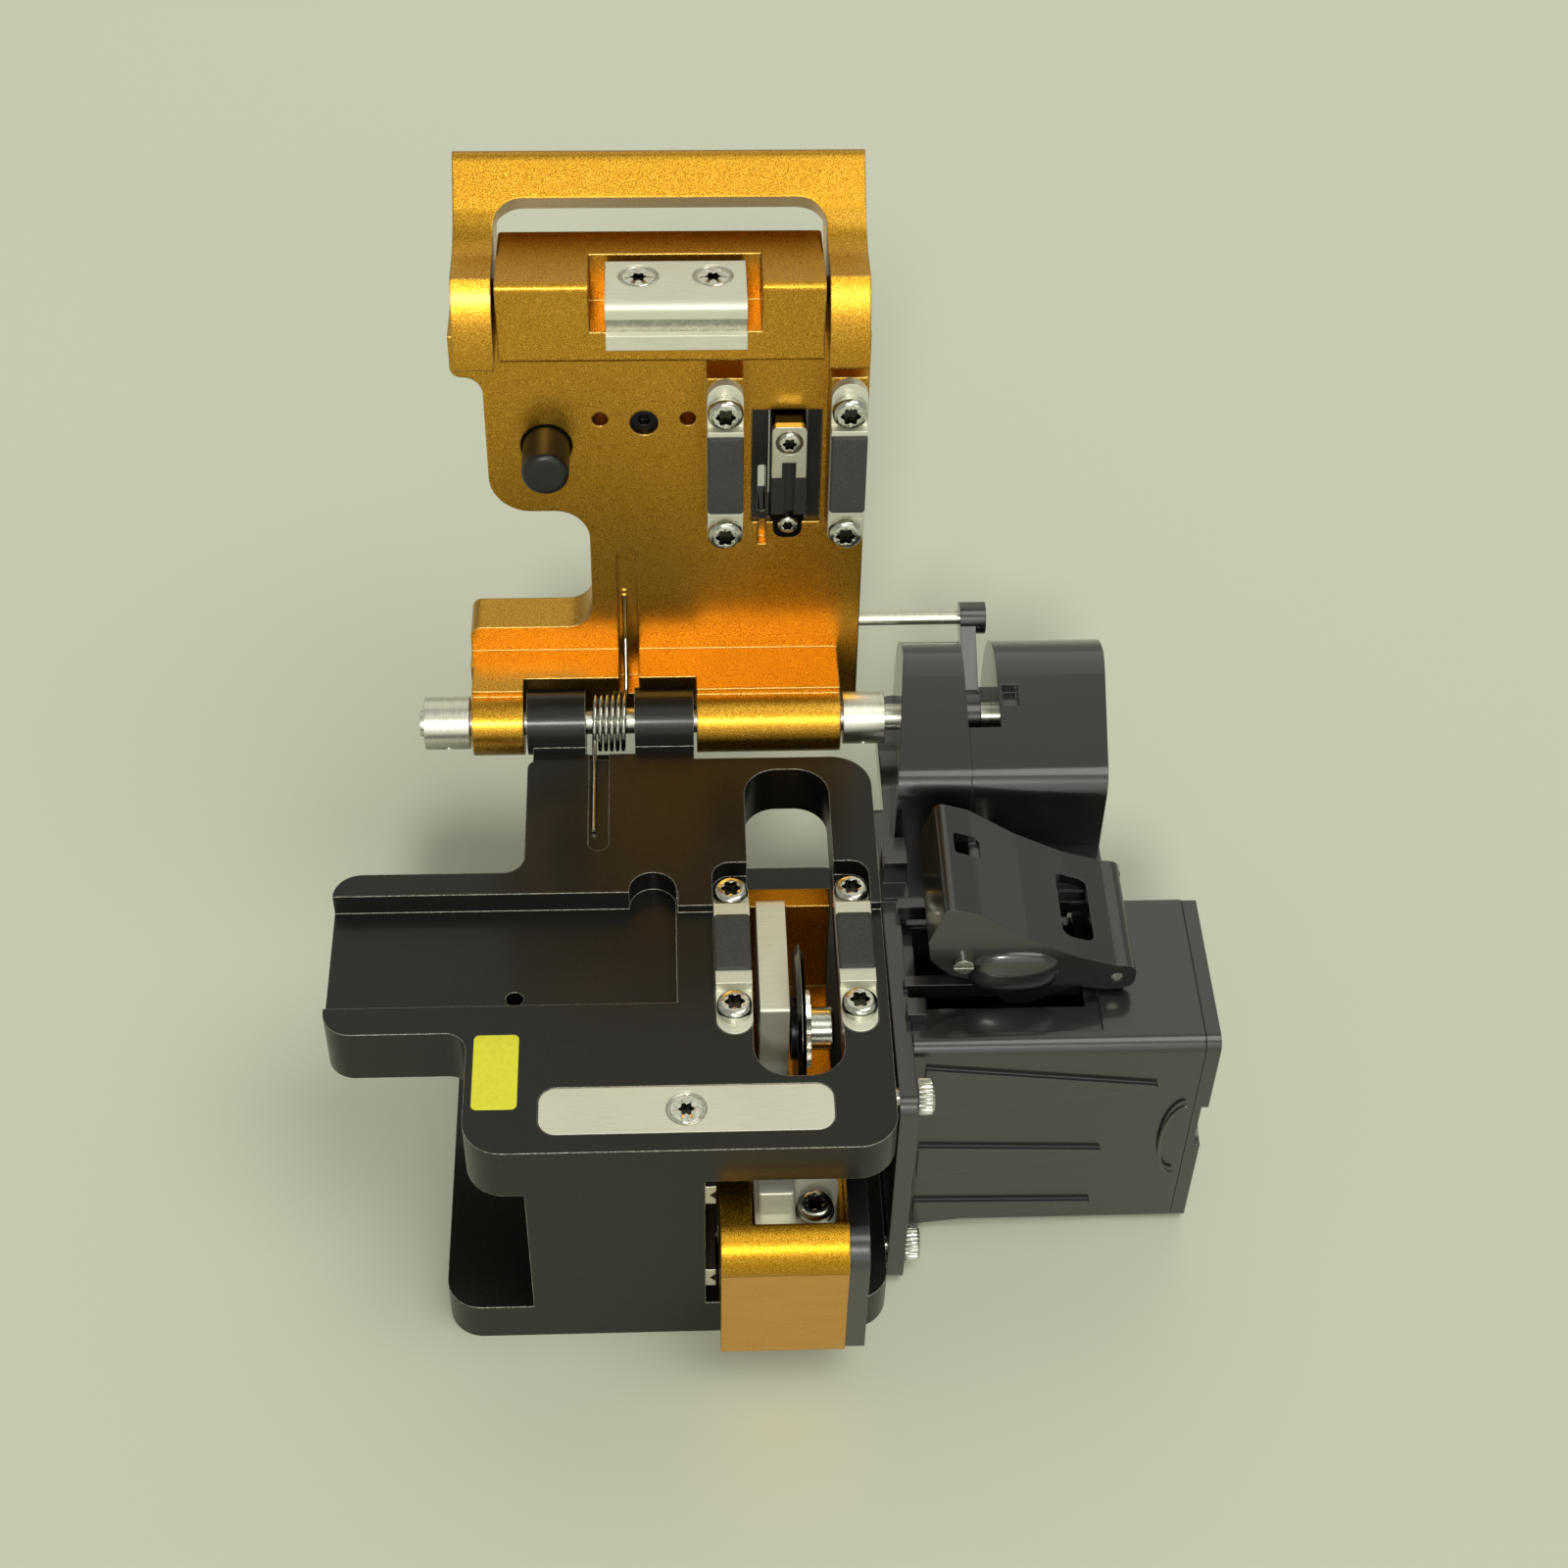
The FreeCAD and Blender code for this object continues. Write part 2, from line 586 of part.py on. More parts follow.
def fixed_rails():
    rails = []
    left = RAIL_PROUD - RAIL_THICK - 1.2
    for z in (UPPER_RAIL_Z, LOWER_RAIL_Z):
        h = RAIL_TALL / 2
        rails.append(prism("xz", [(left, z - h, 0), (RAIL_PROUD, z - h, 0), (RAIL_PROUD, z - VEE, 0),
                                  (RAIL_PROUD - VEE, z, 0), (RAIL_PROUD, z + VEE, 0),
                                  (RAIL_PROUD, z + h, 0), (left, z + h, 0)], RAIL_FRONT, RAIL_BACK))
    return group(rails)


def hinge_pin():
    return rod_x(PIN_LEFT, HOUSING_SEAM + 6, HINGE_Y, HINGE_Z, PIN_RADIUS)


def collars():
    left = rod_x(LID_KNUCKLE_LEFT - KNUCKLE_GAP - COLLAR_LEFT_LENGTH, LID_KNUCKLE_LEFT - KNUCKLE_GAP,
                 HINGE_Y, HINGE_Z, COLLAR_RADIUS)
    right = rod_x(LID_KNUCKLE_RIGHT + KNUCKLE_GAP, LID_KNUCKLE_RIGHT + KNUCKLE_GAP + COLLAR_RIGHT_LENGTH,
                  HINGE_Y, HINGE_Z, COLLAR_RADIUS)
    bore = rod_x(-60, 60, HINGE_Y, HINGE_Z, PIN_RADIUS + RUNNING)
    parts = []
    screws = []
    for body, mid in ((left, LID_KNUCKLE_LEFT - KNUCKLE_GAP - COLLAR_LEFT_LENGTH / 2),
                      (right, LID_KNUCKLE_RIGHT + KNUCKLE_GAP + COLLAR_RIGHT_LENGTH / 2)):
        hole = Part.makeCylinder(1.0 + SCREW_FIT, 6, V(mid, HINGE_Y, HINGE_Z), V(0, -0.8, -0.6))
        screw = Part.makeCylinder(1.0, COLLAR_RADIUS - PIN_RADIUS - 0.7,
                                  V(mid, HINGE_Y - 0.8 * (PIN_RADIUS + 0.1), HINGE_Z - 0.6 * (PIN_RADIUS + 0.1)),
                                  V(0, -0.8, -0.6))
        parts.append(body.cut([bore, hole]))
        screws.append(screw)
    return group(parts), group(screws)


def wire_path(points, r):
    """Round wire along straight stretches, with a ball at every bend."""
    solids = []
    for i in range(len(points) - 1):
        a = points[i]
        b = points[i + 1]
        solids.append(Part.makeCylinder(r, (b - a).Length, a, b - a))
        if i > 0:
            solids.append(Part.makeSphere(r, a))
    return solids


def torsion_spring():
    start = (SPRING_WINDOW_LEFT + SPRING_WINDOW_RIGHT) / 2 - SPRING_TURNS * SPRING_PITCH / 2
    points = []
    for k in range(int(SPRING_TURNS * SPRING_STEPS) + 1):
        a = 2 * math.pi * k / SPRING_STEPS
        points.append(V(SPRING_COIL * math.cos(a), SPRING_COIL * math.sin(a), SPRING_PITCH * k / SPRING_STEPS))
    circle = Part.Wire([Part.makeCircle(SPRING_WIRE, points[0], points[1] - points[0])])
    coil = Part.makePolygon(points).makePipeShell([circle], True, False, 1)
    coil.rotate(V(0, 0, 0), V(0, 1, 0), 90)
    coil.rotate(V(0, 0, 0), V(1, 0, 0), 270)
    coil.translate(V(start, HINGE_Y, HINGE_Z))
    end = start + SPRING_TURNS * SPRING_PITCH
    leg_z = REAR_TOP - GROOVE_DEEP + SPRING_WIRE + 0.2
    leg_w = LID_INNER - GROOVE_DEEP + SPRING_WIRE + 0.2
    legs = wire_path([V(start, HINGE_Y - SPRING_COIL, HINGE_Z), V(start, REAR_EDGE + 0.6, leg_z),
                      V(start, BASE_GROOVE_FRONT + 4.2, leg_z)], SPRING_WIRE)
    legs += wire_path([V(end, HINGE_Y + SPRING_COIL, HINGE_Z), lid_point(end, 7.6, leg_w),
                       lid_point(end, 16.2, leg_w)], SPRING_WIRE)
    return coil.fuse(legs)


def lid_point(x, u, w):
    a = math.radians(LID_LEAN)
    return V(x, HINGE_Y + u * math.sin(a) - w * math.cos(a), HINGE_Z + u * math.cos(a) + w * math.sin(a))


# ---------------------------------------------------------------- lid, in its own frame (x, u, w)
def lid_plate():
    plate = prism("xy", [(LID_LEFT, LID_LEDGE - 1, 0), (LID_RIGHT, LID_LEDGE - 1, 0),
                         (LID_RIGHT, BLOCK_BOTTOM, 0), (HANDLE_IN_RIGHT, BLOCK_BOTTOM, 0),
                         (HANDLE_IN_RIGHT, POCKET_BOTTOM, 0.4), (BLOCK_RIGHT, POCKET_BOTTOM, 0.4),
                         (BLOCK_RIGHT, LID_END, 0.5), (BLOCK_LEFT, LID_END, 0.5),
                         (BLOCK_LEFT, POCKET_BOTTOM, 0.3), (HANDLE_IN_LEFT, POCKET_BOTTOM, 0.3),
                         (HANDLE_IN_LEFT, BLOCK_BOTTOM, 0), (LID_LEFT, BLOCK_BOTTOM, 0),
                         (LID_LEFT, LOBE_TOP, 1.6), (LOBE_LEFT, LOBE_TOP, 2.8),
                         (LOBE_LEFT, NOTCH_TOP, LOBE_CORNER), (NOTCH_RIGHT, NOTCH_TOP, 5),
                         (NOTCH_RIGHT, NOTCH_BOTTOM, 4), (LID_LEFT, NOTCH_BOTTOM, 1.6)],
                  LID_OUTER, LID_INNER)
    foot = box(LID_LEFT, LID_RIGHT, -5, LID_LEDGE, LID_OUTER, 0)
    barrel = rod_x(LID_KNUCKLE_LEFT, LID_KNUCKLE_RIGHT, 0, 0, KNUCKLE_RADIUS)
    block = prism("yz", [(BLOCK_BOTTOM, LID_INNER - 1, 0), (BLOCK_BOTTOM, BLOCK_FACE, 0.6),
                         (LID_END, BLOCK_FACE, 1.0), (LID_END, LID_INNER - 1, 0)], BLOCK_LEFT, BLOCK_RIGHT)
    parts = [plate, foot, barrel, block]
    for x in (CLAMP_LEFT_X, CLAMP_RIGHT_X):
        r = CLAMP_WIDTH / 2
        mid = HINGE_Y - CLAMP_Y
        parts.append(box(x - r, x + r, mid - 14.0, mid + 14.0, LID_INNER - 1, UPPER_BAR_BACK))
    lid = join(parts)
    a = BASE_KNUCKLE_LEFT - KNUCKLE_GAP
    b = BASE_KNUCKLE_RIGHT + KNUCKLE_GAP
    wide = KNUCKLE_RADIUS + LID_KNUCKLE_AIR
    cuts = [rod_x(a, b, 0, 0, wide)]
    cuts.append(box(a, b, -8, 0, -wide, 2))
    cuts.append(box(a, b, 0, LID_LEDGE + 1, -3, 2))
    cuts.append(box(LID_LEFT - 1, LID_KNUCKLE_LEFT, -8, LID_LEDGE + 1, -KNUCKLE_RADIUS - 1, 2))
    cuts.append(box(LID_KNUCKLE_RIGHT, LID_RIGHT + 1, -8, LID_LEDGE + 1, LID_INNER, 2))
    cuts.append(rod_x(-60, 60, 0, 0, PIN_BORE))
    cuts.append(box(LID_GROOVE_X - GROOVE_WIDTH / 2, LID_GROOVE_X + GROOVE_WIDTH / 2, 0,
                    LID_GROOVE_TOP - GROOVE_WIDTH / 2, LID_INNER - GROOVE_DEEP, 2))
    cuts.append(rod_z(LID_INNER - GROOVE_DEEP, 2, LID_GROOVE_X, LID_GROOVE_TOP - GROOVE_WIDTH / 2,
                      GROOVE_WIDTH / 2))
    cuts.append(box(POCKET_LEFT, POCKET_RIGHT, POCKET_BOTTOM, LID_END + 1, POCKET_BACK, 2))
    for x in magnet_screw_xs():
        cuts.append(rod_y(POCKET_BOTTOM - 4.5, POCKET_BOTTOM + 1, x, MAGNET_SCREW_W, CSK_SHANK + SCREW_FIT))
    cuts.append(box(ANVIL_OPEN_LEFT, ANVIL_OPEN_RIGHT, ANVIL_OPEN_LOW, ANVIL_OPEN_HIGH, -20, 0))
    cuts.append(box(9.6, 10.8, ANVIL_OPEN_LOW - 4, ANVIL_OPEN_LOW + 1, LID_INNER - 2, 0))
    cuts.append(rod_z(LID_OUTER + 1.2, 0, PLUNGER_X, PLUNGER_U, PLUNGER_RADIUS + AIR))
    cuts.append(rod_z(-20, 0, ADJUST_X, ADJUST_U, 2.0 + SCREW_FIT))
    for side in (-1, 1):
        x = ADJUST_X + side * ADJUST_PITCH / 2
        cuts.append(rod_z(LID_INNER - 4, 0, x, ADJUST_U + 0.7, LID_HOLE_RADIUS))
    for x in (CLAMP_LEFT_X, CLAMP_RIGHT_X):
        for side in (-1, 1):
            u = clamp_screw_y(HINGE_Y - CLAMP_Y, side)
            cuts.append(rod_z(UPPER_BAR_BACK - 5, 0, x, u, CLAMP_SCREW_SHANK + SCREW_FIT))
    cuts.append(rod_x(LID_RIGHT - 5, 40, ROD_U, ROD_W, ROD_RADIUS + SCREW_FIT))
    return lid.cut(cuts)


def magnet_screw_xs():
    mid = (MAGNET_LEFT + MAGNET_RIGHT) / 2
    return (mid - MAGNET_SCREW_PITCH / 2, mid + MAGNET_SCREW_PITCH / 2)


def lid_handle():
    """U-shaped handle: two curved cheeks and the bow between them."""
    slope = math.radians(HANDLE_SLOPE)
    du = math.cos(slope)
    dw = -math.sin(slope)
    nu = dw
    nw = -du
    cu = LID_END + HANDLE_BEND
    cw = HANDLE_BEND_W
    su = cu + HANDLE_BEND * nu
    sw = cw + HANDLE_BEND * nw
    rear = HANDLE_BEND + HANDLE_THICK

    def p(u, w):
        return V(0, u, w)

    def arc(u0, w0, um, wm, u1, w1):
        return Part.Arc(p(u0, w0), p(um, wm), p(u1, w1)).toShape()

    def round_at(angle):
        return (cu - HANDLE_BEND * math.cos(angle), cw - HANDLE_BEND * math.sin(angle))

    fu = HANDLE_FOOT_LOW + 1.1
    fw = HANDLE_FOOT_FACE - HANDLE_FOOT_CURVE
    a0 = math.asin((HANDLE_FOOT_LOW - fu) / HANDLE_FOOT_CURVE)
    a1 = math.asin((LID_END - fu) / HANDLE_FOOT_CURVE)
    am = (a0 + a1) / 2
    w0 = fw + HANDLE_FOOT_CURVE * math.cos(a0)
    w1 = fw + HANDLE_FOOT_CURVE * math.cos(a1)
    turn = math.radians(90 - HANDLE_SLOPE)
    mid = round_at(turn / 2)
    tip = (su + du * HANDLE_REACH, sw + dw * HANDLE_REACH)
    r = 1.6
    tip_a = (tip[0] - du * r, tip[1] - dw * r)
    tip_m = (tip[0] + (nu - du) * r + 0.7071 * (du - nu) * r, tip[1] + (nw - dw) * r + 0.7071 * (dw - nw) * r)
    tip_b = (tip[0] + nu * r, tip[1] + nw * r)
    back = (tip[0] + nu * HANDLE_THICK, tip[1] + nw * HANDLE_THICK)
    back_a = (back[0] - nu * r, back[1] - nw * r)
    back_m = (back[0] + (-nu - du) * r + 0.7071 * (du + nu) * r,
              back[1] + (-nw - dw) * r + 0.7071 * (dw + nw) * r)
    back_b = (back[0] - du * r, back[1] - dw * r)
    root = (cu + rear * nu, cw + rear * nw)
    end_turn = math.asin((cw - LID_OUTER) / rear)
    heel = (cu - rear * math.cos(end_turn), LID_OUTER)
    half = (turn + end_turn) / 2
    heel_m = (cu - rear * math.cos(half), cw - rear * math.sin(half))
    edges = [arc(HANDLE_FOOT_LOW, w0, fu + HANDLE_FOOT_CURVE * math.sin(am),
                 fw + HANDLE_FOOT_CURVE * math.cos(am), LID_END, w1),
             Part.makeLine(p(LID_END, w1), p(LID_END, cw)),
             arc(LID_END, cw, mid[0], mid[1], su, sw),
             Part.makeLine(p(su, sw), p(*tip_a)),
             arc(tip_a[0], tip_a[1], tip_m[0], tip_m[1], tip_b[0], tip_b[1]),
             Part.makeLine(p(*tip_b), p(*back_a)),
             arc(back_a[0], back_a[1], back_m[0], back_m[1], back_b[0], back_b[1]),
             Part.makeLine(p(*back_b), p(*root)),
             arc(root[0], root[1], heel_m[0], heel_m[1], heel[0], heel[1]),
             Part.makeLine(p(*heel), p(HANDLE_FOOT_LOW, LID_OUTER)),
             Part.makeLine(p(HANDLE_FOOT_LOW, LID_OUTER), p(HANDLE_FOOT_LOW, w0))]
    face = Part.Face(Part.Wire(edges))
    bail = face.extrude(V(HANDLE_RIGHT - HANDLE_LEFT, 0, 0))
    bail.translate(V(HANDLE_LEFT, 0, 0))
    window = slab(HANDLE_IN_LEFT, HANDLE_IN_RIGHT, -60, HANDLE_REACH - HANDLE_BAR, WINDOW_CORNER, -30, 30)
    window.rotate(V(0, 0, 0), V(1, 0, 0), -HANDLE_SLOPE)
    window.translate(V(0, su, sw))
    lower = box(HANDLE_IN_LEFT, HANDLE_IN_RIGHT, 50, LID_END, -40, 10)
    bail = bail.cut([window, lower])
    left = box(HANDLE_LEFT, HANDLE_IN_LEFT, BLOCK_BOTTOM, LID_END, LID_OUTER, LID_INNER)
    right = box(HANDLE_IN_RIGHT, HANDLE_RIGHT, BLOCK_BOTTOM, LID_END, LID_OUTER, LID_INNER)
    bail = join([bail, left, right])
    trim = box(-60, 60, 40, BLOCK_BOTTOM, -40, LID_INNER + 0.0)
    return bail.cut(trim)


def magnets():
    low = POCKET_BOTTOM
    poles = [box(MAGNET_LEFT, MAGNET_RIGHT, low, low + POLE_THICK, MAGNET_REAR, MAGNET_FACE)]
    mid = box(MAGNET_LEFT, MAGNET_RIGHT, low + POLE_THICK, low + POLE_THICK + MAGNET_THICK,
              MAGNET_REAR, MAGNET_FACE - MAGNET_SHY)
    top = low + 2 * POLE_THICK + MAGNET_THICK
    outer = prism("yz", [(top - POLE_THICK, MAGNET_REAR, 0), (top, MAGNET_REAR, 0),
                         (top, MAGNET_FACE, 1.1), (top - POLE_THICK, MAGNET_FACE, 0)],
                  MAGNET_LEFT, MAGNET_RIGHT)
    poles.append(outer)
    screws = []
    for x in magnet_screw_xs():
        screw = csk_screw(0, 0, 0)
        seat = csk_seat(0, 0, 0)
        stem = rod_z(-9.5, -3, 0, 0, CSK_SHANK + SCREW_FIT)
        screw = screw.fuse(rod_z(-9.5, -CSK_LONG, 0, 0, CSK_SHANK))
        seat = seat.fuse(stem)
        for s in (screw, seat):
            s.rotate(V(0, 0, 0), V(1, 0, 0), -90)
            s.translate(V(x, top, MAGNET_SCREW_W))
        screws.append(screw)
        poles = [q.cut(seat) for q in poles]
        mid = mid.cut(seat)
    return group(poles), mid, group(screws)


def upper_clamps():
    bars = []
    pads = []
    screws = []
    washers = []
    mid = HINGE_Y - CLAMP_Y
    rise = HINGE_Y - CLAMP_RISE_Y + 0.8
    seat = UPPER_BAR_BACK + CLAMP_BAR_THICK
    for x in (CLAMP_LEFT_X, CLAMP_RIGHT_X):
        bars.append(clamp_bar(x, mid, rise, CLAMP_LENGTH, UPPER_PAD_LENGTH, UPPER_BAR_BACK))
        pads.append(clamp_pad(x, rise, UPPER_PAD_LENGTH, UPPER_BAR_BACK))
        low = clamp_screw_y(mid, -1)
        high = clamp_screw_y(mid, 1)
        washers.append(ring(seat, seat + WASHER_THICK, x, high, CLAMP_SCREW_HEAD,
                            CLAMP_SCREW_SHANK + SCREW_FIT))
        screws.append(pan_screw(x, high, seat + WASHER_THICK, CLAMP_SCREW_HEAD, CLAMP_SCREW_TALL,
                                CLAMP_SCREW_SHANK, CLAMP_SCREW_LONG))
        screws.append(pan_screw(x, low, seat, CLAMP_SCREW_HEAD, CLAMP_SCREW_TALL,
                                CLAMP_SCREW_SHANK, CLAMP_SCREW_LONG))
    return group(bars), group(pads), group(screws), group(washers)


def anvil_frame():
    frame = box(ANVIL_OPEN_LEFT, ANVIL_OPEN_RIGHT, ANVIL_OPEN_LOW, ANVIL_OPEN_HIGH,
                LID_OUTER + 0.2, LID_INNER - 0.8)
    inner = box(ANVIL_LEFT - AIR, ANVIL_RIGHT + AIR, ANVIL_LOW - AIR, ANVIL_HIGH + AIR, -30, 0)
    slit = slab(9.5, 10.7, 31.4, 39.6, 0.4, -30, 0)
    return frame.cut([inner, slit])


def anvil():
    """Sliding anvil: steel fork, rubber between its tines and a foot held by a small screw."""
    back = box(ANVIL_LEFT, ANVIL_RIGHT, ANVIL_LOW, ANVIL_HIGH, ANVIL_REAR, ANVIL_FACE - 3.5)
    head = prism("xy", [(ANVIL_LEFT, ANVIL_PAD_LOW, 0), (ANVIL_RIGHT, ANVIL_PAD_LOW, 0),
                        (ANVIL_RIGHT, ANVIL_HIGH, 0.8), (ANVIL_LEFT, ANVIL_HIGH, 0.8)],
                 ANVIL_FACE - 3.5, ANVIL_FACE)
    mid = (ANVIL_LEFT + ANVIL_RIGHT) / 2
    seat = box(ANVIL_LEFT - 1, ANVIL_RIGHT + 1, ANVIL_PAD_LOW - 1, ANVIL_CLIP_LOW, ANVIL_FACE - 2.4, 0)
    tines = box(ANVIL_LEFT, ANVIL_LEFT + 1.5, ANVIL_CLIP_LOW - 1, ANVIL_CLIP_LOW + 1, ANVIL_FACE - 3, ANVIL_FACE)
    tines2 = box(ANVIL_RIGHT - 1.5, ANVIL_RIGHT, ANVIL_CLIP_LOW - 1, ANVIL_CLIP_LOW + 1, ANVIL_FACE - 3, ANVIL_FACE)
    gap = box(ANVIL_LEFT + 1.5, ANVIL_RIGHT - 1.5, ANVIL_CLIP_LOW - 2, ANVIL_CLIP_LOW + 1.6, ANVIL_FACE - 2.4, 0)
    foot = prism("xy", [(mid - 2.1, ANVIL_LOW - 1.9, 1.6), (mid + 2.1, ANVIL_LOW - 1.9, 1.6),
                        (mid + 2.1, ANVIL_PAD_LOW, 0), (mid - 2.1, ANVIL_PAD_LOW, 0)],
                 LID_INNER + AIR, LID_INNER + 2.2)
    holder = join([back, head]).cut(seat)
    holder = join([holder, tines, tines2]).cut(gap)
    holder = join([holder, foot])
    top_u = ANVIL_HIGH - 2.7
    low_u = ANVIL_LOW + 0.9
    foot_top = LID_INNER + 2.2
    holder = holder.cut([rod_z(ANVIL_FACE - 4, 0, mid, top_u, 1.9 + SCREW_FIT),
                         rod_z(ANVIL_FACE - 7, 0, mid, top_u, 1.0 + SCREW_FIT),
                         rod_z(foot_top - 4, 0, mid, low_u, 0.8 + SCREW_FIT)])
    pad = box(ANVIL_LEFT, ANVIL_RIGHT, ANVIL_PAD_LOW, ANVIL_CLIP_LOW - 1, ANVIL_FACE - 2.4, ANVIL_FACE)
    pad = pad.fuse(box(ANVIL_LEFT + 1.5, ANVIL_RIGHT - 1.5, ANVIL_CLIP_LOW - 1, ANVIL_CLIP_LOW + 1.6,
                       ANVIL_FACE - 2.4, ANVIL_FACE)).removeSplitter()
    pad = pad.cut(box(BLADE_X - 0.7, BLADE_X + 0.7, 30, 50, ANVIL_FACE - 1.0, 0))
    head_screw = rod_z(ANVIL_FACE - 0.9, ANVIL_FACE + 0.4, mid, top_u, 1.9)
    head_screw = head_screw.fuse(rod_z(ANVIL_FACE - 6, ANVIL_FACE - 0.9, mid, top_u, 1.0))
    head_screw = head_screw.cut(rod_z(ANVIL_FACE - 0.4, 0, mid, top_u, 0.7))
    holder = holder.fuse(ring(ANVIL_FACE - 4, ANVIL_FACE - 0.9, mid, top_u, 1.9 + SCREW_FIT,
                              1.0 + SCREW_FIT)).removeSplitter()
    foot_screw = rod_z(foot_top, foot_top + 0.9, mid, low_u, 1.5)
    foot_screw = foot_screw.fuse(rod_z(foot_top - 3, foot_top, mid, low_u, 0.8))
    foot_screw = foot_screw.cut(rod_z(foot_top + 0.3, 0, mid, low_u, 0.6))
    return holder, pad, group([head_screw, foot_screw])


def plunger():
    body = rod_z(LID_OUTER + 1.2 + PLUNGER_TRAVEL + 0.4, PLUNGER_TOP, PLUNGER_X, PLUNGER_U, PLUNGER_RADIUS)
    rim = [e for e in body.Edges if e.Curve.TypeId == "Part::GeomCircle" and e.CenterOfMass.z > PLUNGER_TOP - 1]
    return body.makeFillet(0.4, rim)


def adjusting_screw():
    body = rod_z(LID_OUTER - 0.6, LID_INNER - 0.8, ADJUST_X, ADJUST_U, 2.0)
    return body.cut(socket(ADJUST_X, ADJUST_U, LID_INNER - 0.8, 1.4))


def drive():
    """Rod out of the lid's side and the arm that rides on the hinge pin beside the drive housing."""
    rod = rod_x(LID_RIGHT - 5, ARM_LEFT + ARM_HEAD_LENGTH - 0.4, ROD_U, ROD_W, ROD_RADIUS)
    reach = math.hypot(ROD_U, ROD_W)
    arm = box(ARM_LEFT, ARM_LEFT + ARM_THICK, -ARM_WIDTH / 2, ARM_WIDTH / 2, 0, reach)
    arm.rotate(V(0, 0, 0), V(1, 0, 0), math.degrees(math.atan2(-ROD_U, ROD_W)))
    hub = rod_x(ARM_LEFT, ARM_LEFT + ARM_THICK, 0, 0, ARM_HUB_RADIUS)
    head = rod_x(ARM_LEFT, ARM_LEFT + ARM_HEAD_LENGTH, ROD_U, ROD_W, ARM_HEAD_RADIUS)
    arm = join([arm, hub, head])
    arm = arm.cut([rod_x(30, 60, 0, 0, PIN_BORE), rod_x(30, 60, ROD_U, ROD_W, ROD_RADIUS + SCREW_FIT)])
    return rod, arm


# ---------------------------------------------------------------- slider
def slider_body():
    knob = prism("yz", [(SLIDER_FRONT, SLIDER_BOTTOM, 0.4), (SLIDER_FRONT + KNOB_THICK, SLIDER_BOTTOM, 0),
                        (SLIDER_FRONT + KNOB_THICK, KNOB_TOP, 0.3), (SLIDER_FRONT, KNOB_TOP, 4.6)],
                 SLIDER_LEFT, SLIDER_RIGHT)
    back = SLIDER_FRONT + KNOB_THICK
    floor = box(SLIDER_LEFT, SLIDER_RIGHT, back - 0.5, SLIDER_BACK, SLIDER_BOTTOM, SLIDER_FLOOR_TOP)
    post = box(SLIDER_LEFT, POST_RIGHT, back - 0.5, POST_BACK, SLIDER_BOTTOM, KNOB_TOP)
    side = box(SLIDER_LEFT, POST_RIGHT - 0.8, POST_BACK - 1, SLIDER_BACK - 1,
               SLIDER_BOTTOM, UPPER_RAIL_Z - RAIL_TALL / 2)
    wall = box(SLIDER_LEFT, SLIDER_RIGHT, SLIDER_BACK - SLIDER_WALL_THICK, SLIDER_BACK,
               SLIDER_BOTTOM, SLIDER_WALL_TOP)
    table = box(BRACKET_LEFT - 1.6, SLIDER_RIGHT, back - 0.5, 11.5, SLIDER_BOTTOM, BRACKET_LOW_TOP - 4)
    body = join([knob, floor, post, side, wall, table])
    h = RAIL_TALL / 2
    cuts = [box(0, RAIL_PROUD + AIR + RAIL_THICK, POST_BACK + 0.2, SLIDER_BACK - SLIDER_WALL_THICK,
                LOWER_RAIL_Z - h, LOWER_RAIL_Z + h)]
    cuts.append(rod_z(BRACKET_LOW_TOP - 12, 60, BRACKET_SCREW_X, BRACKET_SCREW_Y, CLAMP_SCREW_SHANK + SCREW_FIT))
    return body.cut(cuts)


def moving_rails():
    rails = []
    a = RAIL_PROUD + AIR
    for z in (UPPER_RAIL_Z, LOWER_RAIL_Z):
        h = RAIL_TALL / 2
        rails.append(prism("xz", [(a, z - h, 0), (a + RAIL_THICK, z - h, 0), (a + RAIL_THICK, z + h, 0),
                                  (a, z + h, 0), (a, z + VEE - VEE_FIT, 0), (a - VEE + VEE_FIT, z, 0),
                                  (a, z - VEE + VEE_FIT, 0)],
                           POST_BACK + 0.2, SLIDER_BACK - SLIDER_WALL_THICK))
    return group(rails)


def blade_bracket():
    low = SLIDER_FRONT + KNOB_THICK + AIR
    front = BLADE_Y - 2.8
    bar = prism("yz", [(low, BRACKET_LOW_TOP - 4, 0), (low, BRACKET_LOW_TOP, 0.3),
                       (front, BRACKET_LOW_TOP, 3.5), (front, BRACKET_TOP, 0.5),
                       (BRACKET_BACK, BRACKET_TOP, 1.5), (BRACKET_BACK, SLIDER_FLOOR_TOP, 0),
                       (11.7, SLIDER_FLOOR_TOP, 0), (11.7, BRACKET_LOW_TOP - 4, 0)],
                BRACKET_LEFT, BRACKET_RIGHT)
    toe = box(BRACKET_LEFT - 1.4, BRACKET_LEFT + 1, low, 12, BRACKET_LOW_TOP - 4, BRACKET_LOW_TOP)
    tab = prism("xy", [(BRACKET_RIGHT - 1, low + 0.6, 0), (17.6, low + 0.6, 1.6), (18.9, 7.5, 1),
                       (BRACKET_RIGHT - 1, 7.5, 0)], BRACKET_LOW_TOP - 4, BRACKET_LOW_TOP - 1.6)
    tab = tab.fuse(rod_z(BRACKET_LOW_TOP - 4, BRACKET_LOW_TOP - 1.6, BRACKET_SCREW_X, BRACKET_SCREW_Y, 3.1))
    bar = join([bar, toe, tab])
    return bar.cut([rod_x(BRACKET_LEFT - 1, BRACKET_RIGHT + 1, BLADE_Y, BLADE_Z, BLADE_SHAFT + RUNNING),
                    rod_z(0, 60, BRACKET_SCREW_X, BRACKET_SCREW_Y, CLAMP_SCREW_SHANK + SCREW_FIT)])


